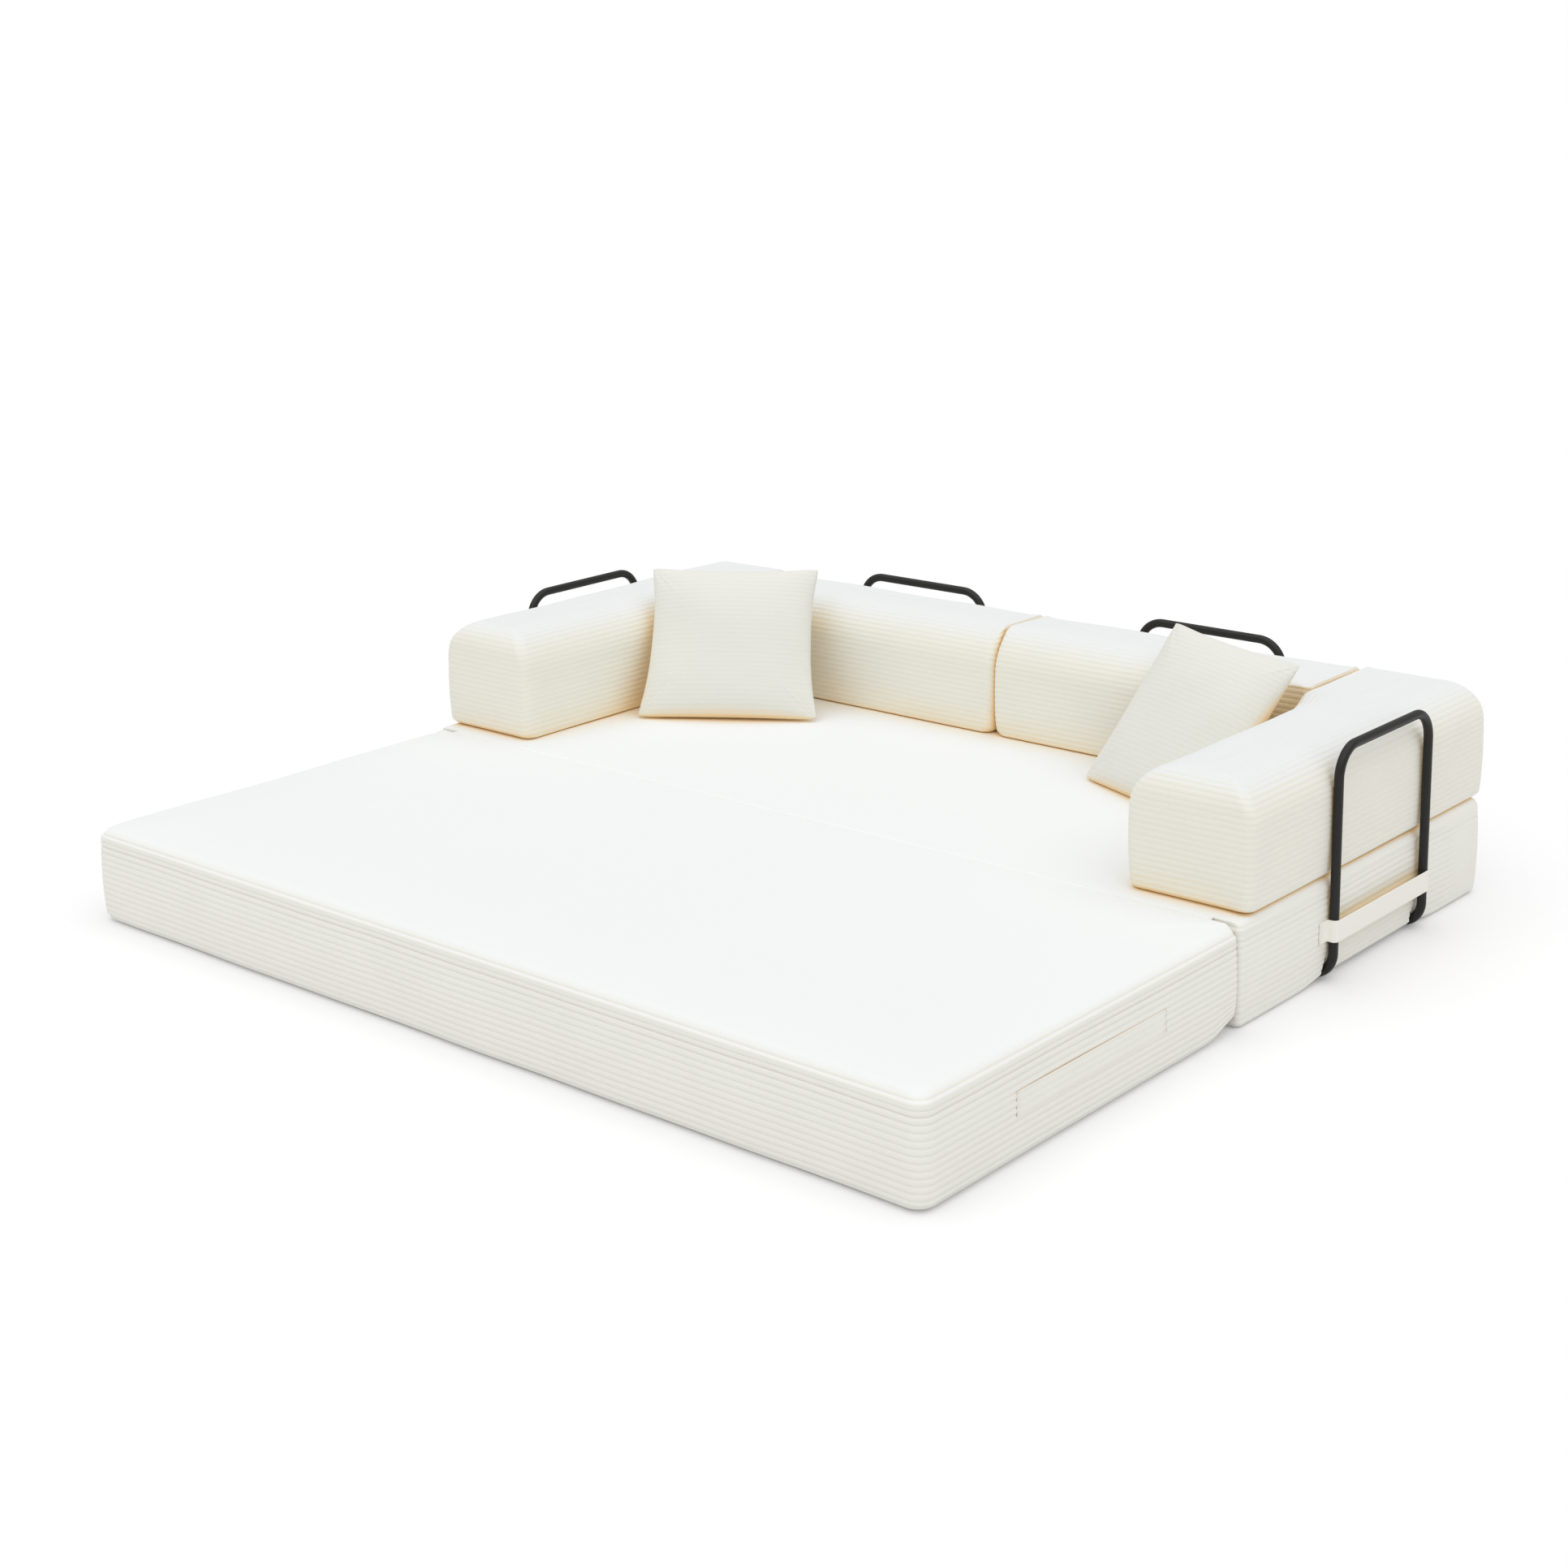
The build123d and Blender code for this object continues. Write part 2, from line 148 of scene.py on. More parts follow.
class SofaBolsterSettings(bpy.types.PropertyGroup):
    outer_round: size("Outer round", 78 * MM, "Radius of the top edge on the outside", 0.3)
    inner_round: size("Inner round", 84 * MM, "Radius of the top edge towards the seat", 0.3)
    end_round: size("End round", 52 * MM, "Radius of the top edge over the ends", 0.3)
    corner: size("Corner round", 22 * MM, "Radius of the upright corners", 0.3)
    foot: size("Foot round", 14 * MM, "Radius of the lower edges on the outside and at the ends", 0.1)
    inner_foot: size("Inner foot round", 6 * MM, "Radius of the lower edge towards the seat", 0.1)
    joint_round: size("Joint round", 8 * MM, "Radius of the top edges where two bolsters are pressed", 0.1)
    proud: size("Proud", 8 * MM, "How far the arms' stuffed cloth stands out towards the seat", 0.02)
    rise: size("Rise", 5 * MM, "How far the stuffed cloth stands up over the top", 0.02)
    rib_pitch: size("Rib pitch", 11.4 * MM, "Distance from one cord to the next", 0.05)
    rib_depth: size("Rib depth", 0.95 * MM, "How far the cords stand over the grooves between them", 0.01)


class SofaCushionSettings(bpy.types.PropertyGroup):
    width: size("Width", 402 * MM, "Width of a cushion from corner to corner", 1.0)
    height: size("Height", 356 * MM, "Height of a cushion from corner to corner", 1.0)
    half_depth: size("Half depth", 54 * MM, "From the seam to the middle of a face", 0.3)
    drawn_in: size("Drawn in", 19 * MM, "How far the sides pull in between the corners", 0.1)
    rib_pitch: size("Rib pitch", 10.7 * MM, "Distance from one cord to the next", 0.05)
    rib_depth: size("Rib depth", 0.6 * MM, "How far the cords stand over the grooves between them", 0.01)


class SofaHoopSettings(bpy.types.PropertyGroup):
    diameter: size("Tube diameter", 18 * MM, "Diameter of the steel tube", 0.1)
    width: size("Width", 350 * MM, "Between the uprights' centre lines", 1.0)
    height: size("Height", 440 * MM, "From the floor to the top bar's centre line", 1.0)
    top_bend: size("Top bend", 56 * MM, "Centre-line radius at the upper corners", 0.3)
    foot_bend: size("Foot bend", 45 * MM, "Centre-line radius above the floor", 0.3)
    leg: size("Leg", 300 * MM, "How far a foot runs under the base", 1.0)
    black: colour("Powder coat", "#161513", "Colour of the tube's powder coat")


class SofaStrapSettings(bpy.types.PropertyGroup):
    width: size("Width", 42 * MM, "Width of the webbing", 0.2)
    length: size("Length", 428 * MM, "From end to end along the base", 1.0)
    cloth: size("Thickness", 1.6 * MM, "Thickness of the webbing", 0.01)


class SofaStageSettings(bpy.types.PropertyGroup):
    camera: bpy.props.FloatVectorProperty(
        name="Camera",
        description="Where the camera stands",
        default=(3.0899, -3.6312, 1.7092),
        size=3,
        unit="LENGTH",
    )
    yaw: number("Yaw", 0.7086, "Turn of the view to the left of +Y", unit="ROTATION")
    pitch: number("Pitch", 0.2111, "How far the view looks down", unit="ROTATION")
    roll: number("Roll", -0.0138, "Tilt of the picture", unit="ROTATION")
    focal: number("Focal length", 57.46, "Lens of the camera in millimetres")
    shift: number("Shift", -0.1377, "Upright shift of the lens")
    glow: number("Floor glow", 0.115, "Light that the camera sees from the paper itself", min=0)
    sky: number("Fill", 0.56, "Strength of the even light from all round", min=0)
    overhead: number("Overhead", 1.6, "Strength of the wide light from above", min=0)


# Shapes


def side_run(half, step, spots=()):
    """Where the columns of one side stand, from -half up to half: even steps, and 4 mm near a spot."""
    even = np.linspace(-half, half, max(4, round(2 * half / step)), endpoint=False)
    close = [spot + np.arange(-28, 29, 4) * MM for spot in spots]
    run = np.unique(np.round(np.concatenate([even, *close]), 5))
    return run[(run >= -half) & (run < half)]


def ring_plan(along, across, corner_steps=10):
    """Once round the plan of a loaf: each column's place along and across it, and the angle that it faces.

    The columns go counterclockwise from the +x end: four sides with a quarter turn after each. A place
    beyond the corner's centre stands at that centre.
    """
    quarter = np.pi / 2
    x, y, angle = [], [], []
    for turn in range(4):
        run = (across, along)[turn % 2] * (1, -1, -1, 1)[turn]
        out = np.full(len(run), (FAR, FAR, -FAR, -FAR)[turn])
        x.append(run if turn % 2 else out)
        y.append(out if turn % 2 else run)
        angle.append(np.full(len(run), turn * quarter))
        x.append(np.full(corner_steps, (FAR, -FAR, -FAR, FAR)[turn]))
        y.append(np.full(corner_steps, (FAR, FAR, -FAR, -FAR)[turn]))
        angle.append((turn + np.linspace(0, 1, corner_steps, endpoint=False)) * quarter)
    return np.concatenate(x), np.concatenate(y), np.concatenate(angle)


def edge_profile(height, foot, shoulder, barrel, crown=0, reach=0):
    """Inset and height of the cloth by the length of cloth from the floor edge, as a function of that length.

    A quarter circle at the foot, an upright side that swells by a parabola, a quarter circle at the
    shoulder, then a crown that rises as a parabola over its reach and stays level.
    """
    turn = np.linspace(0, np.pi / 2, 24)
    rim = height - crown
    upright = np.linspace(foot, rim - shoulder, 14)[1:-1]
    out = np.linspace(0, 1, 30)[1:]
    inset = [foot * (1 - np.sin(turn)), np.zeros(len(upright)), shoulder * (1 - np.cos(turn))]
    rise = [foot * (1 - np.cos(turn)), upright, rim - shoulder * (1 - np.sin(turn))]
    inset.append(shoulder + max(reach, 0.1 * MM) * out)
    rise.append(rim + crown * (1 - (1 - out) ** 2))
    inset, rise = np.concatenate(inset), np.concatenate(rise)
    inset = inset + barrel * np.clip(2 * rise / height - 1, -1, 1) ** 2
    length = np.concatenate([[0], np.cumsum(np.hypot(np.diff(inset), np.diff(rise)))])

    def at(s):
        beyond = np.maximum(s - length[-1], 0)
        before = np.minimum(s, 0)
        return np.interp(s, length, inset) + beyond - before, np.interp(s, length, rise)

    return at


def going_over(first, second, share):
    """A profile that goes over from one to another along a loaf: the mean of both, by each point's share."""

    def at(s):
        (inset, rise), (inset2, rise2) = first(s), second(s)
        mean = lambda a, b: a[:, None] * (1 - share) + b[:, None] * share
        return mean(inset, inset2), mean(rise, rise2)

    return at


def swell_field(x, y, z, seed, wavelength):
    """A smooth field, mostly between -1 and 1: the sum of five seeded sine waves, divided by 2.6.

    Each has its own direction and phase, and a length of 0.7 to 1.6 times the wavelength.
    """
    rng = np.random.default_rng(seed)
    total = np.zeros_like(x)
    for _ in range(5):
        direction = rng.normal(size=3)
        direction /= np.linalg.norm(direction)
        reach = wavelength * rng.uniform(0.7, 1.6)
        along = x * direction[0] + y * direction[1] + z * direction[2]
        total += np.sin(2 * np.pi * along / reach + rng.uniform(0, 6.28))
    return total / 2.6


def rib(phase):
    """One cord's section by its phase: a low round back between narrow grooves, from 0 in the groove to 1."""
    across = np.abs(2 * (phase - np.floor(phase)) - 1)
    return 1 - across**2.6


def loaf_grid(plan, rings, half_x, low_y, high_y, ends, low_side, high_side, corner):
    """The grid of a stuffed loaf and its outward normals, one row for each ring of cloth.

    A ring is a rounded rectangle. Its sides are drawn in, and stand as high, as the profiles of the ends
    and of the two long sides say at the ring's length of cloth from the floor, and the corners blend them
    by the squared cosine and sine of the angle that they face. The normal leans as the blended profile does.
    """
    x0, y0, angle = (values[None, :] for values in plan)
    cos, sin = np.cos(angle), np.sin(angle)
    column = lambda values: values if values.ndim == 2 else values[:, None]
    step = 1e-4
    (end_in, end_up), (end_in2, end_up2) = ends(rings), ends(rings + step)
    (low_in, low_up), (low_in2, low_up2) = low_side(rings), low_side(rings + step)
    (high_in, high_up), (high_in2, high_up2) = high_side(rings), high_side(rings + step)
    half_length = half_x - column(end_in)
    low_in, high_in = column(low_in), column(high_in)
    half_width = np.maximum((high_y - low_y - low_in - high_in) / 2, 0)
    middle = (high_y - high_in + low_y + low_in) / 2
    radius = np.minimum(corner, 0.96 * np.minimum(half_width, half_length))
    reach_x, reach_y = half_length - radius, half_width - radius
    x = np.clip(x0, -reach_x, reach_x) + radius * cos
    y = middle + np.clip(y0, -reach_y, reach_y) + radius * sin
    side = lambda low, high: np.where(sin > 0, column(high), column(low))
    blend = lambda end, low, high: column(end) * cos**2 + side(low, high) * sin**2
    z = blend(end_up, low_up, high_up)
    out = blend(end_up2 - end_up, low_up2 - low_up, high_up2 - high_up)
    rise = blend(end_in2 - end_in, column(low_in2) - low_in, column(high_in2) - high_in)
    scale = np.maximum(np.hypot(out, rise), 1e-12)
    normal = np.stack([cos * out / scale, sin * out / scale, rise / scale], axis=-1)
    return np.stack([x, y, z], axis=-1), normal


def press_depth(points, normals, path, reach):
    """How far each point goes back along its normal until a tube is reach away, in steps of 1 mm up to 40."""
    steps, margin = 40, 50 * MM
    depth = np.zeros(len(points))
    low, high = path.min(0) - margin, path.max(0) + margin
    near = np.flatnonzero(((points > low) & (points < high)).all(1))
    if len(near) == 0:
        return depth
    start, run = path[:-1], path[1:] - path[:-1]
    square = (run**2).sum(1)
    for k in range(steps):
        spot = points[near] - normals[near] * (k * MM)
        share = np.clip(((spot[:, None] - start) * run).sum(2) / square, 0, 1)
        gap = np.linalg.norm(spot[:, None] - start - share[..., None] * run, axis=2).min(1)
        depth[near[gap < reach]] = (k + 1) * MM
    return depth


def softened(values, rounds):
    """A grid of values evened out by its neighbours: each round takes half from itself and half from them."""
    for _ in range(rounds):
        values = (2 * values + np.roll(values, 1, 1) + np.roll(values, -1, 1)) / 4
        inner = (2 * values[1:-1] + values[:-2] + values[2:]) / 4
        values = np.concatenate([values[:1], inner, values[-1:]])
    return values


def cubic_step(share):
    """A share from 0 to 1 with level ends: three times its square less twice its cube."""
    return share**2 * (3 - 2 * share)


def lifted(points, spots, lift):
    """A slab's points raised by lift at the floor, less and less up to 70 mm over it, round the spots.

    Each spot is a path or a point on the floor, and only what lies lower than 30 mm of it counts. The
    share goes by a cubic step from 1 over a spot's box to 0 at 90 mm outside it.
    """
    fade_up, fade_out, low = 70 * MM, 90 * MM, 30 * MM
    share = np.zeros(points.shape[:-1])
    for path in spots:
        feet = path[path[:, 2] < low][:, :2]
        away = np.maximum(np.maximum(feet.min(0) - points[..., :2], points[..., :2] - feet.max(0)), 0).max(-1)
        share = np.maximum(share, np.clip(1 - away / fade_out, 0, 1))
    rise = lift * cubic_step(share) * np.clip(1 - points[..., 2] / fade_up, 0, 1)
    return points + rise[..., None] * (0, 0, 1)


def recess(points, zip_box, below):
    """Heights of an underside's points, raised where they lie lower than below and a zip lies over them.

    The zip's bed is flat and as deep as ZIP_DEPTH, with a slope of 3 mm round it.
    """
    margin, slope = 0.6 * MM, 3 * MM
    low, high = (np.array(corner)[:2] for corner in zip_box)
    away = np.maximum(np.maximum(low - points[..., :2], points[..., :2] - high), 0).max(-1)
    lift = ZIP_DEPTH * np.clip(1 - (away - margin) / slope, 0, 1)
    return np.where(points[..., 2] < below, points[..., 2] + lift, points[..., 2])


def capped(grid):
    """The grid of a tube with its two ends drawn together to their middles."""
    ends = [np.broadcast_to(row.mean(0), row.shape)[None] for row in (grid[0], grid[-1])]
    return np.concatenate([ends[0], grid, ends[1]])


def tube_faces(rows, columns):
    """Quads between neighbouring rows of a grid whose rows are closed."""
    i = np.arange(rows - 1)[:, None]
    j = np.arange(columns)[None, :]
    k, m = i + 1, (j + 1) % columns
    quads = np.stack([i * columns + j, i * columns + m, k * columns + m, k * columns + j], axis=-1)
    return quads.reshape(-1, 4)


def mesh_object(name, points, faces):
    """A mesh object at the origin from arrays of points and quads."""
    mesh = bpy.data.meshes.new(name)
    mesh.vertices.add(len(points))
    mesh.vertices.foreach_set("co", np.ascontiguousarray(points, np.float32).ravel())
    faces = np.asarray(faces, np.int32)
    sides = faces.shape[1]
    mesh.loops.add(faces.size)
    mesh.loops.foreach_set("vertex_index", faces.ravel())
    mesh.polygons.add(len(faces))
    mesh.polygons.foreach_set("loop_start", np.arange(0, faces.size, sides, dtype=np.int32))
    mesh.polygons.foreach_set("loop_total", np.full(len(faces), sides, np.int32))
    mesh.polygons.foreach_set("use_smooth", np.ones(len(faces), bool))
    mesh.update(calc_edges=True)
    piece = bpy.data.objects.new(name, mesh)
    bpy.context.scene.collection.objects.link(piece)
    return piece


def close_and_merge(piece, distance=2e-5):
    """Merges the points that fall together, as at a ridge or a tube's ends, and turns the faces outwards."""
    work = bmesh.new()
    work.from_mesh(piece.data)
    bmesh.ops.remove_doubles(work, verts=work.verts, dist=distance)
    bmesh.ops.dissolve_degenerate(work, edges=work.edges, dist=distance / 2)
    bmesh.ops.recalc_face_normals(work, faces=work.faces)
    # On a thin edge they can all end up inwards, which the signed volume shows
    if work.calc_volume(signed=True) < 0:
        bmesh.ops.reverse_faces(work, faces=work.faces)
    for face in work.faces:
        face.smooth = True
    work.to_mesh(piece.data)
    work.free()


def dress(piece, body, slot, material, *nodes):
    """Gives a finished piece its material and its body, and hides the nodes that it stands for. Its slot is
    not used.
    """
    piece.data.materials.clear()
    piece.data.materials.append(material)
    if body:
        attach(piece, body)
    if nodes:
        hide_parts(*nodes)
    return piece


# Materials


def add_node(tree, kind, inputs=None, **settings):
    """Adds a shader node with its settings. Each input gets a value or the output that it is linked to."""
    node = tree.nodes.new(f"ShaderNode{kind}")
    for name, value in settings.items():
        setattr(node, name, value)
    for name, value in (inputs or {}).items():
        if isinstance(value, bpy.types.NodeSocket):
            tree.links.new(value, node.inputs[name])
        else:
            node.inputs[name].default_value = value
    return node


def new_material(name):
    """A material, its node tree and the tree's output node, with nothing linked to it yet."""
    material = bpy.data.materials.new(name)
    material.use_nodes = True
    tree = material.node_tree
    tree.nodes.clear()
    return material, tree, add_node(tree, "OutputMaterial")


def opaque(colour):
    """A colour's red, green and blue with full alpha."""
    return (*colour[:3], 1)


def blended(tree, share, first, second):
    """A colour that goes from the first where the share is 0 to the second where it is 1."""
    return add_node(tree, "Mix", {0: share, 6: first, 7: second}, data_type="RGBA").outputs[2]


def ramp(tree, value, start, end, most=1.0, kind="LINEAR"):
    """A number that goes from 0, where the value is at start, to most, where it is at end."""
    inputs = {"Value": value, "From Min": start, "From Max": end, "To Max": most}
    return add_node(tree, "MapRange", inputs, interpolation_type=kind).outputs["Result"]


def worked_out(tree, operation, *values):
    """The result of one operation on numbers."""
    return add_node(tree, "Math", dict(enumerate(values)), operation=operation).outputs[0]


def finish(tree, out, grain, strength, distance, shading):
    """A principled shader over the bump that a grain's height gives."""
    bump = add_node(tree, "Bump", {"Strength": strength, "Distance": distance, "Height": grain})
    shader = add_node(tree, "BsdfPrincipled", {**shading, "Normal": bump.outputs["Normal"]})
    tree.links.new(shader.outputs[0], out.inputs["Surface"])


def corded_cloth(name, colour, painted_top_light, painted_warm_shade):
    """Brushed corded polyester: a soft pile that scatters light, with painted top light on its upper faces
    and a painted warm shade in its creases.
    """
    material, tree, out = new_material(name)
    place = add_node(tree, "TexCoord").outputs
    # Pile tufts about 1.6 mm apart, drawn twice as coarse as real ones so that they show
    tufts = {"Scale": 620.0, "Detail": 3.0, "Roughness": 0.6}
    tuft = add_node(tree, "TexNoise", {**tufts, "Vector": place["Object"]})
    # Brushed patches some 90 mm across
    patch = add_node(tree, "TexNoise", {"Scale": 11.0, "Detail": 2.0, "Vector": place["Object"]})
    pile = blended(tree, patch.outputs["Fac"], opaque([0.965 * c for c in colour]), opaque(colour))
    # The upper faces, where the pile is brushed up and lies pale and even
    # Painted top light: the faces that point up take another colour, paler and cooler on the slabs and a
    # little darker on the bolsters, for how the light from above falls on them
    facing = add_node(tree, "SeparateXYZ", {0: place["Normal"]}).outputs
    painted_top_share = ramp(tree, facing["Z"], 0.45, 0.97, kind="SMOOTHSTEP")
    with_painted_top_light = blended(tree, painted_top_share, pile, opaque(painted_top_light))
    # Painted warm shade in the creases, where the ambient occlusion is deep, standing in for light that
    # bounces from pile to pile and comes out warm; not down at the floor
    openness = add_node(tree, "AmbientOcclusion", {"Distance": 0.14}, samples=8).outputs["AO"]
    spot = add_node(tree, "SeparateXYZ", {0: place["Object"]}).outputs
    off_floor = ramp(tree, spot["Z"], 0.03, 0.09)
    # The painted shade fades out in the narrow gap between the slabs, which stays pale
    from_fold = worked_out(tree, "ABSOLUTE", worked_out(tree, "SUBTRACT", spot["Y"], FOLD_Y))
    share = worked_out(tree, "MULTIPLY", off_floor, ramp(tree, from_fold, 0.008, 0.028))
    painted_shade_share = ramp(tree, openness, 0.74, 0.06, share, "SMOOTHSTEP")
    warm = blended(tree, painted_shade_share, with_painted_top_light, opaque(painted_warm_shade))
    sheen = {"Sheen Weight": 0.25, "Sheen Roughness": 0.6, "Specular IOR Level": 0.2}
    finish(tree, out, tuft.outputs["Fac"], 0.35, 0.6 * MM, {"Base Color": warm, "Roughness": 0.92, **sheen})
    return material


def grained(name, colour, texture, grain, strength, distance, shading):
    """A plain colour over the bump of a fine grain. The grain is the texture's first output."""
    material, tree, out = new_material(name)
    place = add_node(tree, "TexCoord").outputs["Object"]
    height = add_node(tree, texture, {**grain, "Vector": place}).outputs[0]
    finish(tree, out, height, strength, distance, {"Base Color": opaque(colour), **shading})
    return material


def plain_webbing(name, colour):
    """Flat polyester webbing: matte, with a fine weave across its width."""
    # Weft threads 1.2 mm apart
    weave = {"Scale": 830.0, "Detail": 2.0}
    return grained(name, colour, "TexNoise", weave, 0.3, 0.4 * MM, {"Roughness": 0.8, "Sheen Weight": 0.15})


def powder_coat(name, colour):
    """Black powder coat on steel tube: satin, with a faint orange peel."""
    # Orange peel about 2.5 mm across
    peel = {"Scale": 400.0, "Detail": 1.0}
    satin = {"Roughness": 0.42, "Specular IOR Level": 0.4}
    return grained(name, colour, "TexNoise", peel, 0.08, 0.2 * MM, satin)


def moulded_nylon(name, colour):
    """Moulded nylon: smooth and slightly glossy, with a mould grain about a millimetre wide."""
    return grained(name, colour, "TexNoise", {"Scale": 900.0}, 0.1, 0.2 * MM, {"Roughness": 0.5})


def cut_foam(name, colour):
    """Cut open-cell foam: matte with pores about a millimetre wide."""
    return grained(name, colour, "TexVoronoi", {"Scale": 900.0}, 0.5, 0.6 * MM, {"Roughness": 0.95})


def shared_material(name):
    """A material that several operators use, made once."""
    if name in bpy.data.materials:
        return bpy.data.materials[name]
    cloth, hoops = bpy.context.scene.sofa_cloth, bpy.context.scene.sofa_hoops
    maker, *colours = {
        "corded cloth": (corded_cloth, cloth.cream, cloth.painted_top_light, cloth.painted_warm_shade),
        "ribbed cloth": (corded_cloth, cloth.ribbed, cloth.ribbed_painted_top_light, cloth.painted_warm_shade),
        "cushion cloth": (corded_cloth, cloth.cushion, cloth.cushion, cloth.painted_warm_shade),
        "plain webbing": (plain_webbing, cloth.webbing),
        "powder coat": (powder_coat, hoops.black),
        "end plug nylon": (moulded_nylon, hex_to_linear("#141414")),
        "zip nylon": (moulded_nylon, hex_to_linear("#ece8dd")),
        "cut foam": (cut_foam, hex_to_linear("#efe6c8")),
    }[name]
    return maker(name, *colours)


# Pieces


def slab_rings(edges, ridge, barrel, pitch, width, zip_in, foot_in):
    """Lengths of cloth from the floor edge at which a slab's rings lie, below 0 in its underside.

    The underside has even rings and closer ones round the zip and the ends of the hoops' feet. Over the
    sides there are RINGS_PER_CORD to a cord, up to past the welt, and then wider and wider ones to the ridge.
    """
    edge = edges["foot"] + barrel
    close = lambda spot, count: spot - edge + np.linspace(-9, 9, count) * MM
    under = np.concatenate([np.linspace(0, width / 2 - edge, 30), close(zip_in, 13), close(foot_in, 9)])
    fine = np.arange(0, SLAB_TOP - SMOOTH_RIM + 24 * MM, pitch / RINGS_PER_CORD)
    coarse = fine[-1] + (ridge - fine[-1]) * np.linspace(0, 1, 26)[1:] ** 1.3
    return np.concatenate([-np.unique(under)[:0:-1], fine, coarse])


def slab_relief(s, pitch, rib_depth):
    """How far a slab's cloth stands off its smooth form, by its length from the floor edge.

    The cords' grooves go in by rib_depth, and by 1.7 times as much in the uppermost ones. They begin over
    the floor edge and end at the last whole cord below the smooth rim. Over them runs the welt, a bell
    curve 1.3 mm high, and 6 mm over its middle a narrower groove, a bell curve 1.2 mm deep.
    """
    rim = SLAB_TOP - SMOOTH_RIM
    bell = lambda middle, reach: np.exp(-(((s - middle) / reach) ** 2))
    cords = (rib(s / pitch) - 1) * rib_depth
    cords = cords * (1 + 0.7 * np.clip((s - rim + 3.2 * pitch) / pitch, 0, 1))
    cords = cords * np.clip(s / (0.5 * pitch), 0, 1) * (s < np.floor(rim / pitch) * pitch)
    welt = (np.floor(rim / pitch) + 0.62) * pitch
    return cords + 1.3 * MM * bell(welt, 3.2 * MM) - 1.2 * MM * bell(welt + 6 * MM, 1.6 * MM)


def slab(body, low_y, high_y, seed, edges, tubes=(), along_spots=(), across_spots=()):
    """A stuffed slab: corded sides, deeper cords and a welt under the shoulder, and a smooth crowned top.

    The stuffing swells and sinks its cloth in waves about 360 mm long, half as much on the top. Hoops'
    tubes press into it and raise its lower edge. A slab without them is raised at its rear corners.
    """
    scene = bpy.context.scene
    cloth, shape, hoops = scene.sofa_cloth, scene.sofa_slabs, scene.sofa_hoops
    foot, pitch, corner = edges["foot"], shape.rib_pitch, shape.corner
    width, middle = high_y - low_y, (low_y + high_y) / 2
    profile = edge_profile(SLAB_TOP, foot, edges["shoulder"], shape.barrel, edges["crown"], shape.reach)
    at_fold = edge_profile(SLAB_TOP, foot, shape.fold_shoulder, shape.barrel, FOLD_CROWN, shape.reach)
    low_side, high_side = (at_fold, profile) if middle > 0 else (profile, at_fold)
    probe = np.linspace(0, width + SLAB_TOP, 9000)
    ridge = float(np.interp(width, low_side(probe)[0] + high_side(probe)[0], probe))
    zip_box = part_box(f"{body}_zip")
    zip_y = (zip_box[0].y + zip_box[1].y) / 2
    zip_in = min(zip_y - low_y, high_y - zip_y)
    rings = slab_rings(edges, ridge, shape.barrel, pitch, width, zip_in, hoops.leg)

    along = side_run(SIDE_X - corner, SLAB_COLUMNS[0], along_spots)
    plan = ring_plan(along, side_run(width / 2 - corner, SLAB_COLUMNS[1], across_spots))
    radii = np.where(plan[1] * middle < 0, shape.fold_corner, corner)[None, :]
    grid, normal = loaf_grid(plan, rings, SIDE_X, low_y, high_y, profile, low_side, high_side, radii)
    s = rings[:, None]
    top = np.clip((s - SLAB_TOP + SMOOTH_RIM) / (60 * MM), 0, 1)
    stuffing = swell_field(grid[..., 0], grid[..., 1], 0.6 * grid[..., 2], seed, 0.36) - 0.9
    stuffing = stuffing * cloth.waviness * np.clip(s / (30 * MM), 0, 1) * (1 - 0.5 * top)
    lift = slab_relief(s, pitch, edges["rib_depth"]) + stuffing
    if tubes:
        flat = grid.reshape(-1, 3), normal.reshape(-1, 3)
        halves = [half for path in tubes for half in (path[: len(path) // 2], path[len(path) // 2 :])]
        press = np.max([press_depth(*flat, path, hoops.diameter / 2 + PRESS_GAP) for path in halves], axis=0)
        lift = np.minimum(lift, 0) - softened(press.reshape(grid.shape[:2]), 2)
        raised, rise = tubes, RISE_OVER_FEET
    else:
        raised, rise = [np.array([(x, high_y, 0)]) for x in (-SIDE_X, SIDE_X)], RISE_AT_CORNERS
    grid = lifted(grid + normal * lift[..., None], raised, rise)
    grid[..., 2] = recess(np.clip(grid, (-FAR, -FAR, 0), (FAR, FAR, SLAB_TOP)), zip_box, 10 * MM)
    grid[0, :, 1] = grid[-1, :, 1] = middle
    piece = mesh_object(f"{body}_slab", grid.reshape(-1, 3), tube_faces(*grid.shape[:2]))
    close_and_merge(piece)
    nodes = [f"{body}_{part}" for part in ("top_panel", "side_band", "bottom_panel", "foam")]
    dress(piece, body, "slab_cloth", shared_material("corded cloth"), *nodes)
    return piece


